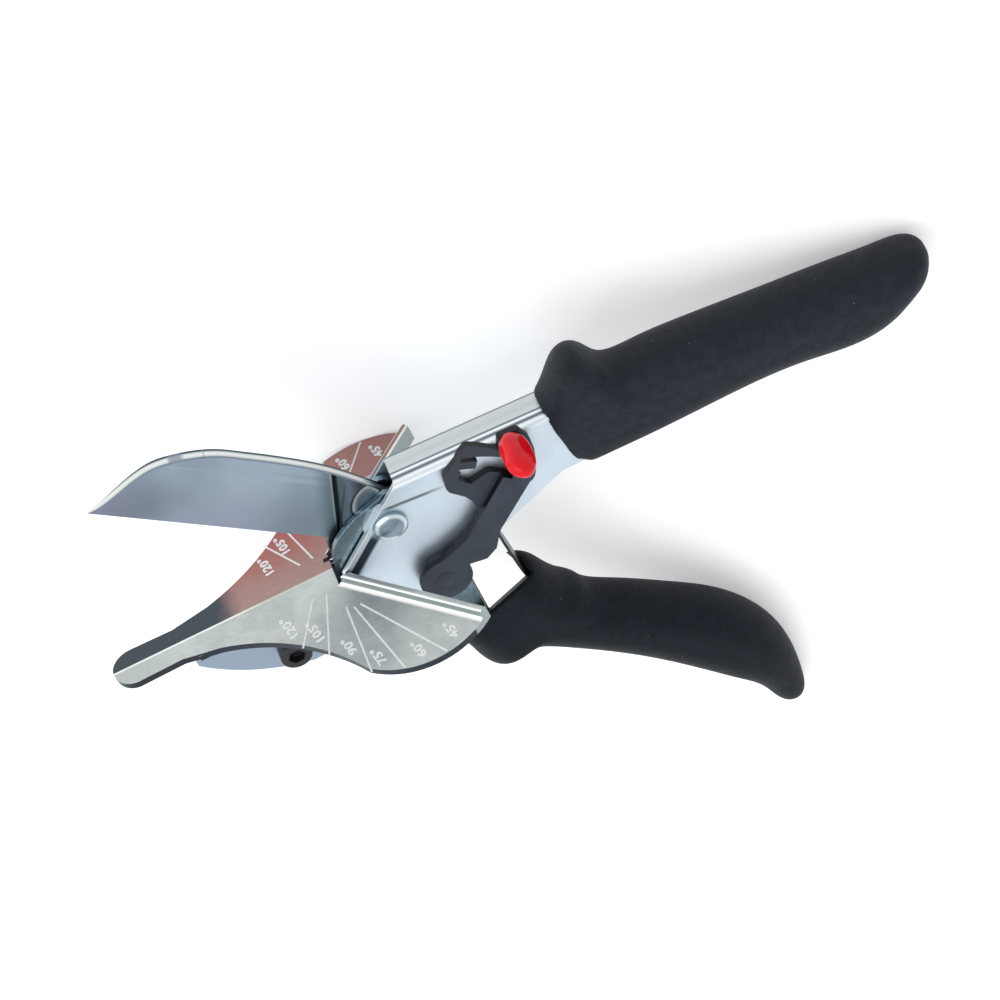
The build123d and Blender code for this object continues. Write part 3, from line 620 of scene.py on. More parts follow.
@dataclass(frozen=True)
class ChannelFinish(MetalFinish):
    """Bright zinc of the pressed channel: pale flanks, painted shade under the table, a fold and a folded front drawn
    in painted shade and highlight, and a bend lined with painted highlight and shade bands.
    """

    # Painted shade of the faces that look to the back.
    web_shade: Colour = (0.46, 0.50, 0.51)
    # Painted light bands across the bend.
    pale: Colour = (0.52, 0.56, 0.56)
    # Painted shade of the dark lines in the bend and in the fold.
    fold_shade: Colour = (0.13, 0.16, 0.18)
    # Painted shade of the flank under the table.
    under: Colour = (0.36, 0.44, 0.54)
    # Dark painted reflection inside the front edge.
    deep: Colour = (0.04, 0.055, 0.08)
    # Painted highlight of the bend, the fold and the front edge.
    lip_highlight: Colour = (0.74, 0.78, 0.80)
    under_table_shade_end: Pair = (-19.5, -17.0)
    joggle: Triple = (0.107, 1.0, -5.55)
    joggle_reach: tuple[Pair, Pair] = ((-1.0, 2.0), (10.0, 18.0))
    fold_half: Triple = (0.1, 0.8, 0.95)  # inner and outer half width, and strength
    glint_line: float = 0.95
    glint_half: Triple = (0.15, 0.5, 0.8)  # the same of the bright line beside it
    front: Triple = (0.692, -0.722, 4.5)
    front_width: float = 6.0
    front_low: Pair = (-15.0, -14.0)
    front_high: Pair = (-6.0, -2.0)
    front_reach: tuple[Pair, Pair] = ((-1.5, -1.0), (4.6, 5.0))
    half_width: float = 5.35
    bend_from: Pair = (0.3, 0.5)

    def tone(self, bench: ShaderBench) -> Socket:
        """Colour of the flanks and, where the metal turns to the back, of the bend, whose faces take painted shade
        and bands of painted highlight.

        Args:
            bench: the material's nodes.

        Returns:
            The colour.
        """
        flank = bench.clouds(0.05, 3.0, self.colour, self.shade)
        # The flank is painted darker under the table as painted shade.
        flank = bench.mix(bench.fade(bench.axis(0), *self.under_table_shade_end), flank, self.under)
        flank = self.folded_front(bench, self.joggled(bench, flank))
        level = bench.spread(bench.axis(2), -self.half_width, self.half_width)
        # Bands of painted highlight and shade across the bend.
        bend = bench.ramp(level, (
            (0.0, self.fold_shade), (0.02, self.fold_shade), (0.05, self.pale), (0.3, self.web_shade), (0.6, self.pale),
            (0.65, self.fold_shade), (0.68, self.fold_shade), (0.73, self.lip_highlight), (0.78, self.lip_highlight), (0.84, self.fold_shade),
            (0.89, self.fold_shade), (0.95, self.lip_highlight), (1.0, self.lip_highlight)))
        return bench.mix(bench.spread(bench.facing(bench.tool.y), *self.bend_from), flank, bend)

    def joggled(self, bench: ShaderBench, flank: Socket) -> Socket:
        """Draws the pressed fold behind the pivot as a painted shade line with a painted highlight line beside it.

        Args:
            bench: the material's nodes.
            flank: the flank's colour.

        Returns:
            The flank's colour with the fold on it.
        """
        beside = bench.line(*self.joggle)
        reach = bench.window(bench.axis(0), *self.joggle_reach)
        fold = bench.fade(bench.math("ABSOLUTE", beside), *self.fold_half)
        flank = bench.mix(bench.times(fold, reach), flank, self.fold_shade)
        glint = bench.fade(bench.gap(beside, self.glint_line), *self.glint_half)
        return bench.mix(bench.times(glint, reach), flank, self.lip_highlight)

    def folded_front(self, bench: ShaderBench, flank: Socket) -> Socket:
        """Draws the front edge's painted highlight and the dark band of painted reflection inside it.

        Args:
            bench: the material's nodes.
            flank: the flank's colour.

        Returns:
            The flank's colour with the band on it.
        """
        inward = bench.line(*self.front)
        rising = bench.line(-self.front[1], self.front[0], 0.0)
        band = bench.ramp(bench.spread(inward, 0.0, self.front_width), (
            (0.0, self.lip_highlight), (0.12, self.lip_highlight), (0.17, self.deep), (0.25, self.deep), (0.62, self.deep),
            (0.8, self.colour), (1.0, self.colour)))
        reach = bench.times(bench.fade(rising, *self.front_high), bench.spread(bench.axis(1), *self.front_low),
                            bench.window(inward, *self.front_reach))
        return bench.mix(reach, flank, band)


@dataclass(frozen=True)
class DomeFinish(MetalFinish):
    """Turned steel head: blue-grey crown, a painted highlight ring near the rim and a side in painted shade."""

    # Painted shade of the head's side.
    side: Colour = (0.10, 0.13, 0.15)
    # Painted highlight ring near the rim.
    shoulder_highlight: Colour = (0.72, 0.78, 0.80)
    rim: float = 4.9

    def tone(self, bench: ShaderBench) -> Socket:
        """Colour in rings round the pivot, with painted highlight and shade rings.

        Args:
            bench: the material's nodes.

        Returns:
            The colour.
        """
        squares = [bench.times(bench.axis(index), bench.axis(index)) for index in (0, 1)]
        radius = bench.math("SQRT", bench.plus(*squares))
        return bench.ramp(bench.math("DIVIDE", radius, self.rim), (
            (0.0, self.colour), (0.5, self.shade), (0.62, self.shade), (0.7, self.shoulder_highlight), (0.8, self.shoulder_highlight),
            (0.88, self.shade), (0.97, self.side), (1.0, self.side)))


@dataclass(frozen=True)
class PlateFinish(MetalFinish):
    """Dark plate whose sheared edges are painted nearly black, their own dark tone with painted shade over it."""

    # Painted shade: the plate's sides are drawn nearly black.
    edge: Colour = (0.004, 0.004, 0.006)
    flat_from: Pair = (0.3, 0.7)

    def tone(self, bench: ShaderBench) -> Socket:
        """Colour of the plate's faces and of its edges, painted nearly black as shade."""
        plate = bench.clouds(0.15, 3.0, self.colour, self.shade)
        return bench.mix(bench.spread(bench.facing(bench.tool.z), *self.flat_from), self.edge, plate)


@dataclass(frozen=True)
class RubberFinish:
    """Dipped grip: matte black with a fine grain, faint mottling and a few pale specks, with painted shade on the
    faces turned to the back.
    """

    name: str = "grip_rubber"
    colour: Colour = (0.0115, 0.017, 0.026)
    shade: Colour = (0.0075, 0.0105, 0.016)
    speck: Colour = (0.16, 0.18, 0.2)
    # Painted shade of the faces turned to the back.
    deep: Colour = (0.002, 0.0025, 0.003)
    back_shade: float = 0.3
    specular: float = 0.22
    roughness: float = 0.56
    grain: float = 2.6
    gloss_reach: Pair = (-0.08, 0.1)
    grain_depth: float = 0.14
    bump_strength: float = 0.8
    speck_scale: float = 0.22
    speck_edge: Pair = (0.03, 0.05)
    speck_grain: Pair = (0.45, 0.6)
    back_from: Pair = (0.6, 1.0)

    def build(self, tool: ToolFrame) -> bpy.types.Material:
        """Joins grain, mottling and specks to the shader.

        Args:
            tool: the tool's frame.

        Returns:
            The material.
        """
        bench = ShaderBench(self.name, tool)
        grain = bench.noise(self.grain, 3.0, 0.65)
        mottle = bench.spread(bench.noise(0.35, 4.0, 0.6), *NOISE_MIDDLE)
        dots = bench.add("ShaderNodeTexVoronoi", Vector=bench.place, Scale=self.speck_scale).outputs["Distance"]
        specks = bench.times(bench.fade(dots, *self.speck_edge), bench.spread(grain, *self.speck_grain))
        # Faces turned to the back are painted darker, as shade.
        turned_back = bench.spread(bench.facing(tool.y), *self.back_from, 0.0, self.back_shade)
        gloss = (self.roughness + reach for reach in self.gloss_reach)
        base = bench.mix(turned_back, bench.mix(mottle, self.shade, self.colour), self.deep)
        bench.drive(Specular_IOR_Level=self.specular, Base_Color=bench.mix(specks, base, self.speck),
                    Roughness=bench.spread(grain, *NOISE_WIDE, *gloss),
                    Normal=bench.bump(grain, self.grain_depth, strength=self.bump_strength))
        return bench.material


@dataclass(frozen=True)
class PlasticFinish:
    """Glossy moulded plastic with a soft waviness."""

    name: str
    colour: Colour
    shade: Colour
    roughness: float = 0.16
    gloss_reach: Pair = (-0.04, 0.06)
    coat: float = 0.3
    coat_roughness: float = 0.04
    specular: float = 0.08
    wave_depth: float = 0.05
    bump_strength: float = 0.4

    def build(self, tool: ToolFrame) -> bpy.types.Material:
        """Joins tone, gloss and waviness to the shader.

        Args:
            tool: the tool's frame.

        Returns:
            The material.
        """
        bench = ShaderBench(self.name, tool)
        waves, fine = bench.noise(0.25, 2.0), bench.noise(3.0, 2.0)
        gloss = (self.roughness + reach for reach in self.gloss_reach)
        bench.drive(Coat_Weight=self.coat, Coat_Roughness=self.coat_roughness, Specular_IOR_Level=self.specular,
                    Base_Color=bench.mix(bench.spread(waves, *NOISE_WIDE), self.colour, self.shade),
                    Roughness=bench.spread(fine, *NOISE_WIDE, *gloss),
                    Normal=bench.bump(waves, self.wave_depth, strength=self.bump_strength))
        return bench.material


@dataclass(frozen=True)
class PaintFinish:
    """Thin matte filling of the scale's lines and numbers, slightly patchy."""

    name: str = "scale_white"
    colour: Colour = (0.92, 0.94, 0.94)
    shade: Colour = (0.78, 0.81, 0.81)
    patch_range: Pair = (0.4, 0.7)
    gloss: Pair = (0.5, 0.7)

    def build(self, tool: ToolFrame) -> bpy.types.Material:
        """Joins the patches' tone and gloss to the shader.

        Args:
            tool: the tool's frame.

        Returns:
            The material.
        """
        bench = ShaderBench(self.name, tool)
        patch = bench.noise(1.2, 4.0)
        bench.drive(Base_Color=bench.mix(bench.spread(patch, *self.patch_range), self.colour, self.shade),
                    Roughness=bench.spread(patch, *NOISE_WIDE, *self.gloss))
        return bench.material


@dataclass(frozen=True)
class Finishes:
    """Every finish of the tool, by the part that wears it."""

    flank: bpy.types.Material
    cheek: bpy.types.Material
    table: bpy.types.Material
    blade: bpy.types.Material
    dome: bpy.types.Material
    bright: bpy.types.Material
    black: bpy.types.Material
    slate: bpy.types.Material
    spring: bpy.types.Material
    red: bpy.types.Material
    rubber: bpy.types.Material
    lower_rubber: bpy.types.Material
    paint: bpy.types.Material

    @classmethod
    def all(cls, tool: ToolFrame) -> "Finishes":
        """Builds every material.

        Args:
            tool: the tool's frame.

        Returns:
            The finishes.
        """
        finishes = {
            "flank": ChannelFinish(
                "zinc_plate", (0.75, 0.85, 0.93), (0.67, 0.76, 0.83), roughness=0.42, roughness_spread=0.05,
                streak=(0.25, 3.0, 3.0), streak_depth=0.0006, pit_depth=0.0006),
            "cheek": MetalFinish(
                "zinc_cheek", (0.20, 0.27, 0.31), (0.12, 0.165, 0.19), roughness=0.3, streak=(0.6, 0.3, 0.6),
                streak_depth=0.002, pit_depth=0.001),
            "table": TableFinish(
                "satin_zinc", (0.50, 0.535, 0.515), (0.42, 0.455, 0.44), roughness=0.42, roughness_spread=0.06,
                streak=(1.2, 1.2, 1.2), pit_depth=0.012),
            "blade": BladeFinish(
                "ground_steel", (0.42, 0.52, 0.60), (0.36, 0.44, 0.52), roughness=0.3, roughness_spread=0.008,
                streak=(5.0, 0.3, 5.0), streak_depth=0.0001, pit_depth=0.0001),
            "dome": DomeFinish(
                "pivot_steel", (0.33, 0.44, 0.51), (0.26, 0.34, 0.40), roughness=0.27, streak=(0.8, 0.8, 0.8),
                streak_depth=0.0003, pit_depth=0.0003),
            "bright": MetalFinish(
                "turned_steel", (0.42, 0.49, 0.54), (0.30, 0.36, 0.40), roughness=0.27, streak=(0.8, 0.8, 0.8),
                streak_depth=0.001, pit_depth=0.001),
            "black": MetalFinish(
                "black_oxide", (0.022, 0.023, 0.027), (0.012, 0.012, 0.014), roughness=0.38, metallic=0.3,
                streak=(2.0, 2.0, 2.0)),
            "slate": PlateFinish(
                "slate_phosphate", (0.030, 0.041, 0.057), (0.023, 0.031, 0.043), roughness=0.46, metallic=0.0,
                specular=0.3, streak=(1.5, 1.5, 1.5), pit_depth=0.006),
            "spring": MetalFinish(
                "spring_steel", (0.05, 0.055, 0.06), (0.03, 0.032, 0.036), roughness=0.3, metallic=0.8,
                streak=(6.0, 0.4, 6.0)),
            "red": PlasticFinish("red_plastic", (0.82, 0.006, 0.014), (0.72, 0.005, 0.011)),
            "rubber": RubberFinish(),
            # The lower grip's faces turned to the back take stronger painted shade.
            "lower_rubber": RubberFinish(
                "lower_grip_rubber", (0.0075, 0.0115, 0.018), (0.005, 0.0075, 0.011), back_shade=0.8,
                specular=0.12),
            "paint": PaintFinish(),
        }
        return cls(**{part: finish.build(tool) for part, finish in finishes.items()})


# Working on meshes


def placed(name: str, data: bpy.types.ID) -> bpy.types.Object:
    """Makes an object and links it to the scene.

    Args:
        name: the object's name.
        data: its mesh, curve, lamp or camera.

    Returns:
        The object.
    """
    thing = bpy.data.objects.new(name, data)
    bpy.context.scene.collection.objects.link(thing)
    return thing


def put(name: str, mesh: bpy.types.Mesh, body: Body, finish: bpy.types.Material) -> bpy.types.Object:
    """Sets a finished mesh in the scene on its body.

    Args:
        name: the piece's name.
        mesh: mesh in the part's metres.
        body: body that it rides on.
        finish: its material.

    Returns:
        The piece.
    """
    mesh.materials.clear()
    mesh.materials.append(finish)
    piece = placed(name, mesh)
    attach(piece, body.value)
    LOG.info("%s on %s: %d faces", name, body.value, len(mesh.polygons))
    return piece


def settled(thing: bpy.types.Object) -> bpy.types.Mesh:
    """Applies an object's modifiers and removes the object.

    Args:
        thing: the object.

    Returns:
        Its plain mesh.
    """
    bpy.context.view_layer.update()
    graph = bpy.context.evaluated_depsgraph_get()
    mesh = bpy.data.meshes.new_from_object(thing.evaluated_get(graph))
    bpy.data.objects.remove(thing)
    return mesh


def released(work: bmesh.types.BMesh, name: str, place: Matrix) -> bpy.types.Mesh:
    """Mesh of finished work, moved to its place.

    Args:
        work: the work, freed here.
        name: the mesh's name.
        place: matrix from the work's measures to the part's metres.

    Returns:
        The mesh.
    """
    mesh = bpy.data.meshes.new(name)
    work.to_mesh(mesh)
    work.free()
    mesh.transform(place)
    return mesh


def merged(node: str, flat_angle: float = 0.4, near: float = 2e-6) -> bpy.types.Mesh:
    """Joined copy of a solid's loose triangles, with its flat faces made whole.

    Args:
        node: the solid's name.
        flat_angle: faces that differ by less, in degrees, become one.
        near: corners closer than this, in metres, become one.

    Returns:
        The copy.
    """
    mesh = NODES[node].data.copy()
    work = bmesh.new()
    work.from_mesh(mesh)
    bmesh.ops.remove_doubles(work, verts=work.verts, dist=near)
    bmesh.ops.dissolve_degenerate(work, dist=near, edges=work.edges)
    if flat_angle:
        bmesh.ops.dissolve_limit(work, angle_limit=math.radians(flat_angle), verts=work.verts, edges=work.edges)
    work.to_mesh(mesh)
    work.free()
    mesh.update()
    return mesh


def smoothed(mesh: bpy.types.Mesh, sharp: Optional[float] = None) -> bpy.types.Mesh:
    """Smooths a mesh's shading.

    Args:
        mesh: the mesh.
        sharp: edges with a larger angle, in degrees, stay sharp.

    Returns:
        The same mesh.
    """
    for polygon in mesh.polygons:
        polygon.use_smooth = True
    if sharp is not None:
        mesh.set_sharp_from_angle(angle=math.radians(sharp))
    return mesh


def turned(profile: Sequence[Pair], middle: Pair, tool: ToolFrame, steps: int = 48) -> bpy.types.Mesh:
    """Round piece about a line along the tool's z.

    Args:
        profile: radius and z of each corner, from the axis and back to it, in mm.
        middle: tool x and y of the line.
        tool: the tool's frame.
        steps: flats round the piece.

    Returns:
        The mesh in the part's metres.
    """
    work = bmesh.new()
    turns = [2 * math.pi * i / steps for i in range(steps)]
    rings = [[work.verts.new((middle[0] + radius * math.cos(a), middle[1] + radius * math.sin(a), z))
              for a in (turns if radius else turns[:1])] for radius, z in profile]
    for low, high in zip(rings, rings[1:]):
        for i in range(steps):
            j = (i + 1) % steps
            corners = [low[i % len(low)], low[j % len(low)], high[j % len(high)], high[i % len(high)]]
            work.faces.new(list(dict.fromkeys(corners)))
    bmesh.ops.recalc_face_normals(work, faces=work.faces)
    return smoothed(released(work, "turned", tool.matrix()), 30.0)


@dataclass(frozen=True)
class Reach:
    """Middle line and ends of a round solid that stands along the tool's z, in mm."""

    x: float
    y: float
    low: float
    high: float

    @classmethod
    def of_points(cls, points: Sequence[Vector]) -> "Reach":
        """Reach of a cloud of points in the tool's millimetres."""
        spans = [(min(p[i] for p in points), max(p[i] for p in points)) for i in range(3)]
        return cls(sum(spans[0]) / 2, sum(spans[1]) / 2, *spans[2])

    @staticmethod
    def points(tool: ToolFrame, node: str) -> list[Vector]:
        """A node's corners in the tool's millimetres."""
        back = tool.matrix().inverted()
        return [back @ v.co for v in NODES[node].data.vertices]

    @classmethod
    def of(cls, tool: ToolFrame, node: str) -> "Reach":
        """Reach of a whole node."""
        return cls.of_points(cls.points(tool, node))

    @classmethod
    def each(cls, tool: ToolFrame, node: str) -> list["Reach"]:
        """Reach of each of a node's two solids, parted at the middle of its x.

        Args:
            tool: the tool's frame.
            node: the node's name.

        Returns:
            The two reaches, the one of lower x first.
        """
        points = cls.points(tool, node)
        middle = (min(p.x for p in points) + max(p.x for p in points)) / 2
        return [cls.of_points([p for p in points if (p.x < middle) == first]) for first in (True, False)]

    def far_place(self, tool: ToolFrame, inset: float) -> Matrix:
        """Matrix that stacks rings from the far end inwards."""
        return tool.matrix() @ Matrix.Translation((self.x, self.y, self.low + inset))


@dataclass
class Refined:
    """A solid with its sharp edges slightly rounded."""

    node: str
    body: Body
    round_mm: float = 0.22
    segments: int = 2
    sharp: float = 30.0
    crease: float = 89.0

    def build(self, finish: bpy.types.Material) -> bpy.types.Object:
        """Rounds the edges and dresses the piece that stands for the solid."""
        return self.round_off(merged(self.node), finish)

    def round_off(self, mesh: bpy.types.Mesh, finish: bpy.types.Material) -> bpy.types.Object:
        """Rounds a mesh's edges and puts it in the solid's place.

        Args:
            mesh: the solid's merged mesh.
            finish: the piece's material.

        Returns:
            The piece that stands for the solid.
        """
        thing = placed(self.node + "_edges", smoothed(mesh, self.crease))
        bevel = thing.modifiers.new("edges", "BEVEL")
        bevel.width = self.round_mm * MM
        bevel.segments = self.segments
        bevel.limit_method = "ANGLE"
        bevel.angle_limit = math.radians(self.sharp)
        bevel.use_clamp_overlap = True
        thing.modifiers.new("even", "WEIGHTED_NORMAL").keep_sharp = True
        piece = put(self.node + "_finished", settled(thing), self.body, finish)
        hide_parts(self.node)
        return piece


@dataclass
class Dipped:
    """A grip remade as one soft skin, with rounded lips and no facets."""

    node: str
    voxel_mm: float = 0.62
    rounds: int = 6
    factor: float = 0.5

    def build(self, body: Body, finish: bpy.types.Material) -> bpy.types.Object:
        """Remakes and smooths the grip.

        Args:
            body: body that it rides on.
            finish: its material.

        Returns:
            The piece that stands for the solid.
        """
        thing = placed(self.node + "_skin", merged(self.node, 0.0))
        remesh = thing.modifiers.new("skin", "REMESH")
        remesh.mode = "VOXEL"
        remesh.voxel_size = self.voxel_mm * MM
        smooth = thing.modifiers.new("soft", "SMOOTH")
        smooth.factor = self.factor
        smooth.iterations = self.rounds
        piece = put(self.node + "_dipped", smoothed(settled(thing)), body, finish)
        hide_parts(self.node)
        return piece


# The angle table's scale


class ScaleMark(NamedTuple):
    """Angle, its number's place and its line's ends, each as tool x and distance from the ridge."""

    angle: int
    label: Pair
    inner: Optional[Pair] = None
    outer: Optional[Pair] = None


@dataclass
class AngleScale:
    """Lines and numbers on the two wings of the table; a wing's own edge is the line at 45."""

    ridge_drop: float = 10.8
    fall_angle: float = 5.0
    line_width: float = 0.5
    line_height: float = 0.06
    line_taper: float = 0.8
    sunk: float = 0.9
    digit_height: float = 2.2
    digit_stretch: float = 1.22
    digit_weight: float = 0.12
    digit_spacing: float = 1.06
    font_scale: float = 1.4
    lean: dict[Side, float] = field(default_factory=lambda: {Side.NEAR: 10.0, Side.FAR: 8.0})
    marks: tuple[ScaleMark, ...] = (
        ScaleMark(45, (2.8, 32.4)),
        ScaleMark(60, (-6.2, 33.4), (-15.2, 13.6), (-0.2, 37.7)),
        ScaleMark(75, (-15.9, 30.2), (-16.9, 13.7), (-11.0, 36.8)),
        ScaleMark(90, (-21.6, 23.7), (-18.7, 12.7), (-18.9, 33.6)),
        ScaleMark(105, (-27.9, 15.4), (-21.9, 6.2), (-26.9, 23.4)),
        ScaleMark(120, (-33.5, 11.0), (-25.5, 6.0), (-32.3, 18.2)),
    )

    def on_wing(self, x: float, reach: float, side: Side, lift: float = 0.0) -> Vector:
        """Point on a wing's top face, in the tool's millimetres.

        Args:
            x: tool x.
            reach: distance from the ridge, measured level.
            side: which wing.
            lift: height above the face.

        Returns:
            The point.
        """
        fall = math.tan(math.radians(self.fall_angle))
        return Vector((x, -self.ridge_drop - reach * fall + lift, side.value * reach))

    def wing_normal(self, side: Side) -> Vector:
        """Direction that a wing's top face looks in."""
        fall = math.radians(self.fall_angle)
        return Vector((0, math.cos(fall), side.value * math.sin(fall)))

    def build(self, tool: ToolFrame, paint: bpy.types.Material) -> None:
        """Lays the lines and the numbers on both wings.

        Args:
            tool: the tool's frame.
            paint: the filling's material.
        """
        for name, add in (("scale_lines", self.add_line), ("scale_numbers", self.add_number)):
            work = bmesh.new()
            for side in Side:
                for mark in self.marks:
                    add(work, mark, side)
            put(name, released(work, name, tool.matrix()), Body.UPPER, paint)

    def add_line(self, work: bmesh.types.BMesh, mark: ScaleMark, side: Side) -> None:
        """Adds a mark's line as a thin flat bar, partly sunk into the wing's face.

        Args:
            work: the lines so far.
            mark: the mark.
            side: which wing.
        """
        if mark.inner is None or mark.outer is None:
            return
        start, end = self.on_wing(*mark.inner, side), self.on_wing(*mark.outer, side)
        up = self.wing_normal(side)
        across = (end - start).normalized().cross(up).normalized() * (self.line_width / 2)
        rise = up * self.line_height
        corners = ((-across, -rise), (across, -rise), (across * self.line_taper, rise),
                   (-across * self.line_taper, rise))
        ring = [work.verts.new(p + rise * self.sunk + a + b) for p in (start, end) for a, b in corners]
        for face in ((3, 2, 1, 0), (4, 5, 6, 7), (0, 1, 5, 4), (1, 2, 6, 5), (2, 3, 7, 6), (3, 0, 4, 7)):
            work.faces.new([ring[i] for i in face])
        bmesh.ops.recalc_face_normals(work, faces=work.faces)

    def add_number(self, work: bmesh.types.BMesh, mark: ScaleMark, side: Side) -> None:
        """Adds a mark's number, read from the grips' side.

        Args:
            work: the numbers so far.
            mark: the mark.
            side: which wing.
        """
        mesh = self.number_mesh(f"{mark.angle}°")
        mesh.transform(self.number_place(mark, side))
        work.from_mesh(mesh)
        bpy.data.meshes.remove(mesh)

    def number_mesh(self, digits: str) -> bpy.types.Mesh:
        """Mesh of one number, centred and flat, in millimetres.

        Args:
            digits: the number.

        Returns:
            The mesh.
        """
        curve = bpy.data.curves.new("number", "FONT")
        curve.body = digits
        curve.size = self.digit_height * self.font_scale
        curve.align_x = "CENTER"
        curve.align_y = "CENTER"
        curve.extrude = self.line_height
        curve.offset = self.digit_weight
        curve.resolution_u = 3
        curve.space_character = self.digit_spacing
        mesh = settled(placed("number", curve))
        bpy.data.curves.remove(curve)
        return mesh

    def number_place(self, mark: ScaleMark, side: Side) -> Matrix:
        """Matrix that lays a number on its wing, its line running towards the far side.

        Args:
            mark: the number's mark.
            side: which wing.

        Returns:
            The matrix, in the tool's millimetres.
        """
        up = self.wing_normal(side)
        lean = math.radians(self.lean[side])
        read = Vector((-math.sin(lean), 0, -math.cos(lean)))
        read = (read - up * read.dot(up)).normalized()
        top = up.cross(read).normalized()
        place = self.on_wing(*mark.label, side, self.line_height * self.sunk)
        turn = Matrix((read * self.digit_stretch, top, up)).transposed().to_4x4()
        return Matrix.Translation(place) @ turn


# Repeated small features


@dataclass
class RingStack:
    """Rows of equal rings, such as a thread's crests."""

    name: str
    ring_steps: int = 40
    crest_steps: int = 6

    def tree(self, finish: bpy.types.Material) -> bpy.types.NodeTree:
        """Tree that sets one crest at each point of a line.

        Args:
            finish: the crests' material.

        Returns:
            The tree, with inputs Count, Pitch, Radius and Crest.
        """
        tree = bpy.data.node_groups.new("ThreadCrests", "GeometryNodeTree")
        for name, kind in (("Start", "NodeSocketGeometry"), ("Count", "NodeSocketInt"), ("Pitch", "NodeSocketFloat"),
                           ("Radius", "NodeSocketFloat"), ("Crest", "NodeSocketFloat")):
            tree.interface.new_socket(name, in_out="INPUT", socket_type=kind)
        tree.interface.new_socket("Rings", in_out="OUTPUT", socket_type="NodeSocketGeometry")
        bench = NodeBench(tree)
        sizes = bench.add("NodeGroupInput").outputs
        step = bench.add("ShaderNodeCombineXYZ", Z=sizes["Pitch"])
        line = bench.add("GeometryNodeMeshLine", Count=sizes["Count"], Offset=step.outputs["Vector"])
        path, crest = (bench.add("GeometryNodeCurvePrimitiveCircle", Resolution=steps, Radius=sizes[size])
                       for steps, size in ((self.ring_steps, "Radius"), (self.crest_steps, "Crest")))
        ring = bench.add("GeometryNodeCurveToMesh", Curve=path.outputs["Curve"], Profile_Curve=crest.outputs["Curve"])
        rings = bench.add("GeometryNodeInstanceOnPoints", Points=line.outputs["Mesh"], Instance=ring.outputs["Mesh"])
        real = bench.add("GeometryNodeRealizeInstances", rings.outputs["Instances"])
        dressed = bench.add("GeometryNodeSetMaterial", real.outputs["Geometry"], Material=finish)
        bench.add("NodeGroupOutput", dressed.outputs["Geometry"])
        return tree

    def build(self, places: Iterable[Matrix], body: Body, finish: bpy.types.Material,
              **sizes: float) -> bpy.types.Object:
        """Makes the rings at each place and joins them into one piece.

        Args:
            places: matrices from ring millimetres to the part's metres, with the rings stacked along z.
            body: body that they ride on.
            finish: their material.
            sizes: the tree's inputs by name.

        Returns:
            The piece.
        """
        tree = self.tree(finish)
        work = bmesh.new()
        for place in places:
            thing = placed(self.name, bpy.data.meshes.new(self.name))
            modifier = thing.modifiers.new("rings", "NODES")
            modifier.node_group = tree
            for item in tree.interface.items_tree:
                if item.in_out == "INPUT" and item.name in sizes:
                    modifier[item.identifier] = sizes[item.name]
            mesh = settled(thing)
            mesh.transform(place)
            work.from_mesh(mesh)
        return put(self.name, smoothed(released(work, self.name, Matrix()), 60.0), body, finish)


# Sub-assemblies


@dataclass
class UpperHandle:
    """Pressed channel lever with its table, screws, pivot and grip."""

    rivet_head: float = 0.7
    rivet_radius: float = 1.95
    rivet_rim: float = 2.5
    rivet_neck: float = 1.0
    rivet_crown: tuple[Pair, ...] = ((0.08, 0.07), (0.3, 0.03), (0.5, 0.08))
    rivet_top: float = 0.16
    thread_shown: float = 0.1
    thread_turns: int = 3
    thread_pitch: float = 0.35
    thread_radius: float = 1.95
    thread_crest: float = 0.13
    rounded: dict[str, float] = field(default_factory=lambda: {
        "upper_lever": 0.25, "angle_table": 0.7, "table_screws": 0.12, "table_nuts": 0.15, "stop_bush": 0.15,
        "pivot_washer": 0.1, "pivot_nut": 0.15, "pivot_pin": 0.15, "guide_stud": 0.12})

    def build(self, tool: ToolFrame, wear: Finishes) -> None:
        """Rounds, dresses and places the upper handle's pieces.

        Args:
            tool: the tool's frame.
            wear: the tool's finishes.
        """
        finish = {"upper_lever": wear.flank, "angle_table": wear.table, "table_screws": wear.black,
                  "pivot_pin": wear.dome, "guide_stud": wear.slate}
        for node, size in self.rounded.items():
            Refined(node, Body.UPPER, size).build(finish.get(node, wear.bright))
        Dipped("upper_grip").build(Body.UPPER, wear.rubber)
        self.build_rivet(tool, wear.slate)
        ends = [Reach.of(tool, "pivot_pin")] + Reach.each(tool, "table_screws")
        RingStack("thread_crests").build(
            [end.far_place(tool, self.thread_shown) for end in ends], Body.UPPER, wear.bright,
            Count=self.thread_turns, Pitch=self.thread_pitch, Radius=self.thread_radius, Crest=self.thread_crest)

    def build_rivet(self, tool: ToolFrame, finish: bpy.types.Material) -> None:
        """Makes the lock's rivet with its head set almost flush.

        Args:
            tool: the tool's frame.
            finish: the rivet's material.
        """
        reach = Reach.of(tool, "lock_rivet")
        head = reach.high - self.rivet_head
        profile = ((0.0, reach.low), (self.rivet_radius, reach.low), (self.rivet_radius, head - self.rivet_neck),
                   (self.rivet_rim, head), *((self.rivet_rim - inward, head + up) for inward, up in self.rivet_crown),
                   (0.0, head + self.rivet_top))
        piece = put("lock_rivet_flush", turned(profile, (reach.x, reach.y), tool), Body.UPPER, finish)
        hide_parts("lock_rivet")


class Spot(NamedTuple):
    """A corner of the blade: its place along the spine, its height towards it, and the corner."""

    along: float
    high: float
    vertex: bpy.types.MeshVertex


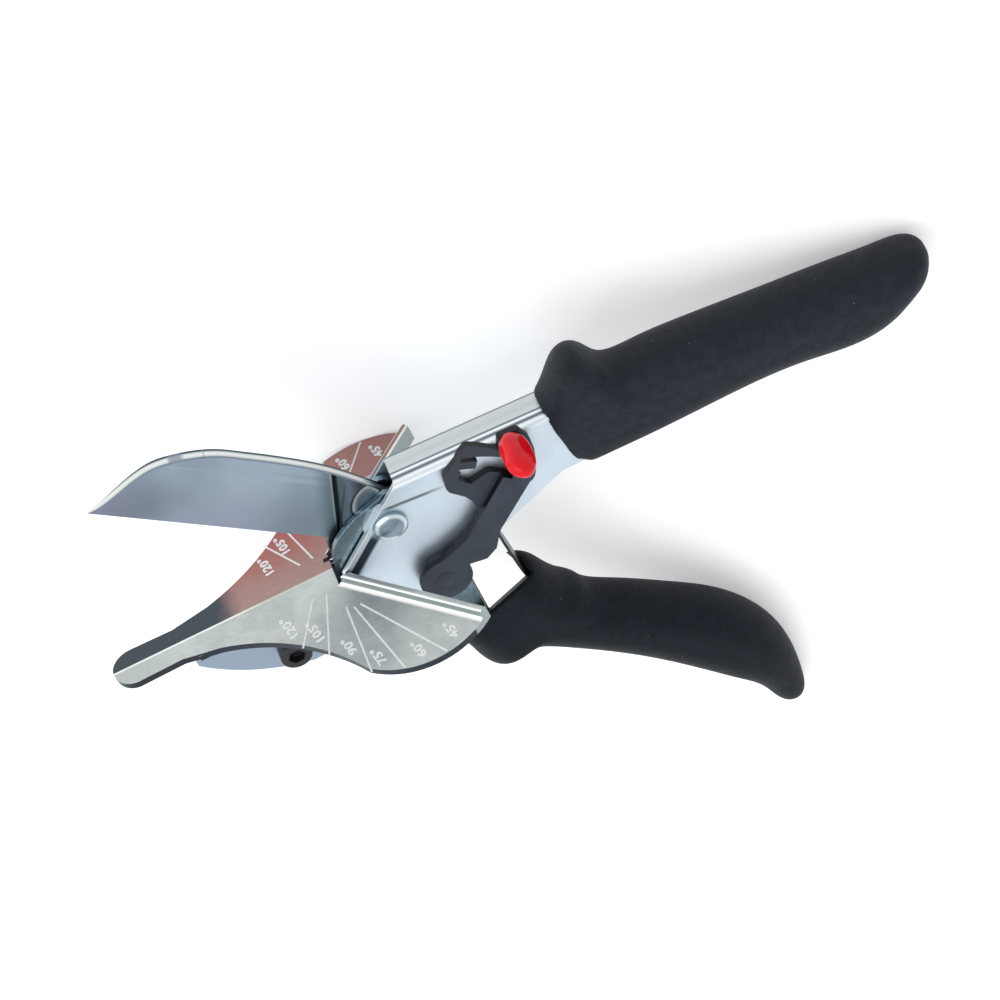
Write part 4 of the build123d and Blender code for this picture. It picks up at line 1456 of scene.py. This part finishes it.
@dataclass
class FullSpine:
    """Blade whose spine keeps its full thickness almost to the tip."""

    node: str = "blade"
    axis: Pair = (0.815, -0.579)
    stations: tuple[Pair, ...] = ((-75.6, 0.15), (-73.5, 0.7), (-70.0, 1.2), (-62.0, 1.6), (-24.0, 1.6))
    depth: float = 0.5
    round_mm: float = 0.15

    def thickness(self, along: float) -> float:
        """Works out the spine's half thickness.

        Args:
            along: place along the blade, in mm.

        Returns:
            The half thickness in mm, 0 past the stations.
        """
        for (first, thin), (last, thick) in zip(self.stations, self.stations[1:]):
            if first <= along <= last:
                return thin + (thick - thin) * (along - first) / (last - first)
        return 0.0

    def outline_top(self, spot: Spot, edges: Sequence[tuple[Spot, Spot]]) -> float:
        """Height of the blade's outline over a corner.

        Args:
            spot: the corner.
            edges: every edge's two corners, the one of lower place first.

        Returns:
            The height.
        """
        top = spot.high
        for low, up in edges:
            if low.along <= spot.along <= up.along and up.along - low.along > 1e-6:
                share = (spot.along - low.along) / (up.along - low.along)
                top = max(top, low.high + (up.high - low.high) * share)
        return top

    def build(self, tool: ToolFrame, finish: bpy.types.Material) -> bpy.types.Object:
        """Widens the spine, rounds its edges and dresses the blade.

        Args:
            tool: the tool's frame.
            finish: the blade's material.

        Returns:
            The blade's piece.
        """
        mesh = merged(self.node)
        mesh.transform(tool.matrix().inverted())
        spots = [Spot(v.co.x * self.axis[0] + v.co.y * self.axis[1],
                      v.co.y * self.axis[0] - v.co.x * self.axis[1], v) for v in mesh.vertices]
        edges = [tuple(sorted((spots[i] for i in edge.vertices), key=lambda spot: spot.along)) for edge in mesh.edges]
        for spot in spots:
            half = self.thickness(spot.along)
            if half > abs(spot.vertex.co.z) and spot.high > self.outline_top(spot, edges) - self.depth:
                spot.vertex.co.z = math.copysign(half, spot.vertex.co.z)
        mesh.transform(tool.matrix())
        return Refined(self.node, Body.LOWER, self.round_mm).round_off(mesh, finish)


@dataclass
class LowerHandle:
    """Nested channel lever with the blade, spring and grip."""

    rounded: dict[str, float] = field(default_factory=lambda: {
        "lower_lever": 0.25, "blade_rivets": 0.15, "catch_stud": 0.12, "opening_spring": 0.08})

    def build(self, tool: ToolFrame, wear: Finishes) -> None:
        """Rounds, dresses and places the lower handle's pieces.

        Args:
            tool: the tool's frame.
            wear: the tool's finishes.
        """
        FullSpine().build(tool, wear.blade)
        finish = {"lower_lever": wear.cheek, "opening_spring": wear.spring}
        for node, size in self.rounded.items():
            Refined(node, Body.LOWER, size).build(finish.get(node, wear.bright))
        Dipped("lower_grip").build(Body.LOWER, wear.lower_rubber)


@dataclass
class LockSet:
    """Lock bar and its red thumb cap."""

    bar_round: float = 0.18
    reach: float = 46.0
    tab_angle: float = 49.8
    foot: float = 8.3
    half: Triple = (3.2, 3.75, 6.85)
    shift: Pair = (0.7, 0.35)
    fullness: float = 2.6

    def build(self, tool: ToolFrame, wear: Finishes) -> None:
        """Rounds, dresses and places the lock's pieces.

        Args:
            tool: the tool's frame.
            wear: the tool's finishes.
        """
        Refined("lock_bar", Body.LOCK, self.bar_round).build(wear.slate)
        piece = put("lock_cap_pill", self.pill(tool), Body.LOCK, wear.red)
        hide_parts("lock_cap")

    def pill(self, tool: ToolFrame) -> bpy.types.Mesh:
        """Rounded cap over the thumb tab, fuller than an ellipsoid.

        Args:
            tool: the tool's frame.

        Returns:
            The mesh in the part's metres.
        """
        work = bmesh.new()
        bmesh.ops.create_uvsphere(work, u_segments=64, v_segments=40, radius=1.0)
        for vert in work.verts:
            size = sum(abs(c) ** self.fullness for c in vert.co) ** (-1 / self.fullness)
            vert.co = Vector([c * half for c, half in zip(vert.co, self.half)]) * size
        turn = Matrix.Rotation(math.radians(self.tab_angle), 4, "Z")
        pivot = Vector((*LOCK_PIVOT, self.foot + self.half[2]))
        tab = turn @ Vector((self.reach + self.shift[0], self.shift[1], 0.0))
        place = Matrix.Translation(pivot + tab) @ turn
        return smoothed(released(work, "pill", tool.matrix() @ place))


# Studio


class Lamp(NamedTuple):
    """A round soft lamp that looks at the tool, in metres and watts."""

    name: str
    place: Triple
    size: float
    power: float


@dataclass
class Studio:
    """Pale floor, even soft light and the camera at the photograph's angle."""

    floor_size: float = 6.0
    floor_tone: float = 0.86
    floor_glow: float = 0.32
    sky: tuple[tuple[float, Colour], ...] = (
        (0.0, (1, 1, 1)), (0.35, (0.97, 0.98, 1.0)), (1.0, (0.74, 0.76, 0.79)))
    sky_tilt: Triple = (-0.25, -0.55, 0.8)
    sky_range: Pair = (-0.4, 1.0)
    sky_strength: Pair = (0.38, 1.3)
    lamps: tuple[Lamp, ...] = (
        Lamp("overhead", (-0.3, 0.1, 1.3), 1.3, 5.0),
        Lamp("left", (-1.1, 0.4, 0.8), 0.9, 2.4),
        Lamp("glint", (-0.45, 0.3, 0.9), 0.12, 0.4))
    camera_distance_mm: float = 1000.0
    sensor_mm: float = 36.0
    photo_pixels: float = 1000.0
    focal_pixels: float = 4100.0
    aim_pixels: Pair = (116.0, -9.5)
    right: Triple = (0.8976, -0.3408, 0.2798)
    up: Triple = (0.4359, 0.595, -0.6764)
    clip: Pair = (0.05, 20.0)

    def build(self, tool: ToolFrame) -> None:
        """Sets up floor, world, lamps and camera.

        Args:
            tool: the tool's frame.
        """
        self.build_floor()
        self.build_world()
        self.build_lamps()
        self.build_camera(tool)
        bpy.context.scene.view_settings.view_transform = "Standard"

    def seen(self, bench: NodeBench) -> Socket:
        """Tells the rays that show the background, straight, in metal or in glass.

        Args:
            bench: the tree that asks.

        Returns:
            Socket that is 1 for such rays.
        """
        paths = bench.add("ShaderNodeLightPath").outputs
        total = bench.math("MAXIMUM", paths["Is Camera Ray"], paths["Is Glossy Ray"])
        return bench.math("MAXIMUM", total, paths["Is Transmission Ray"])

    def build_floor(self) -> None:
        """Pale floor that keeps the tool's shadow."""
        bpy.ops.mesh.primitive_grid_add(size=self.floor_size, x_subdivisions=4, y_subdivisions=4)
        floor = bpy.context.active_object
        floor.name = "floor"
        material = bpy.data.materials.new("pale_floor")
        material.use_nodes = True
        bench = NodeBench(material.node_tree)
        matte = bench.add("ShaderNodeBsdfDiffuse", Color=solid((self.floor_tone,) * 3)).outputs[0]
        glow = bench.add("ShaderNodeEmission", Color=solid((1, 1, 1)), Strength=self.floor_glow).outputs[0]
        lit = bench.add("ShaderNodeAddShader", matte, glow).outputs[0]
        shown = bench.add("ShaderNodeMixShader", self.seen(bench), matte, lit).outputs[0]
        bench.add("ShaderNodeOutputMaterial", shown)
        floor.data.materials.append(material)

    def build_world(self) -> None:
        """White surroundings, dimmer overhead, that light the tool more from one side."""
        world = bpy.data.worlds.new("studio")
        bpy.context.scene.world = world
        world.use_nodes = True
        bench = NodeBench(world.node_tree)
        where = bench.add("ShaderNodeTexCoord").outputs["Generated"]
        colour = bench.ramp(bench.add("ShaderNodeSeparateXYZ", where).outputs["Z"], self.sky)
        lit = bench.add("ShaderNodeMapRange", bench.dot(where, self.sky_tilt),
                        From_Min=self.sky_range[0], From_Max=self.sky_range[1],
                        To_Min=self.sky_strength[0], To_Max=self.sky_strength[1])
        strength = bench.add("ShaderNodeMix", self.seen(bench), A=lit.outputs["Result"], B=1.0)
        strength.data_type = "FLOAT"
        back = bench.add("ShaderNodeBackground", colour, strength.outputs["Result"])
        bench.add("ShaderNodeOutputWorld", back.outputs["Background"])

    def build_lamps(self) -> None:
        """Large soft lamps overhead and at the sides."""
        for name, place, size, power in self.lamps:
            lamp = bpy.data.lights.new(name, "AREA")
            lamp.shape = "DISK"
            lamp.size = size
            lamp.energy = power
            thing = placed(name, lamp)
            thing.location = place
            thing.rotation_mode = "QUATERNION"
            thing.rotation_quaternion = (-Vector(place)).to_track_quat("-Z", "Y")

    def build_camera(self, tool: ToolFrame) -> None:
        """Camera at the photograph's place, aimed at its middle.

        Args:
            tool: the tool's frame.
        """
        right, up = (tool.turn() @ Vector(v) for v in (self.right, self.up))
        back = right.cross(up).normalized()
        place = tool.origin + back * self.camera_distance_mm * MM
        aim = right * self.aim_pixels[0] - up * self.aim_pixels[1] - back * self.focal_pixels
        behind = -aim.normalized()
        side = (right - behind * right.dot(behind)).normalized()
        over = behind.cross(side)
        data = bpy.data.cameras.new("camera")
        data.sensor_width = self.sensor_mm
        data.lens = self.sensor_mm * self.focal_pixels / self.photo_pixels
        data.clip_start, data.clip_end = self.clip
        camera = placed("camera", data)
        basis = Matrix((side, over, behind)).transposed().to_4x4()
        camera.matrix_world = Matrix.Translation(place) @ basis
        bpy.context.scene.camera = camera


def main() -> None:
    """Builds and dresses the tool and sets the studio."""
    logging.basicConfig(level=logging.INFO, format="%(name)s: %(message)s")
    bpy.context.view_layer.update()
    tool = ToolFrame.from_joints(FRAME["joints"])
    wear = Finishes.all(tool)
    for node in ("thrust_washers", "lock_spacer"):
        data = NODES[node].data
        data.materials.clear()
        data.materials.append(wear.bright)
    UpperHandle().build(tool, wear)
    LowerHandle().build(tool, wear)
    LockSet().build(tool, wear)
    AngleScale().build(tool, wear.paint)
    Studio().build(tool)
    LOG.info("built")


if __name__ == "__main__":
    main()
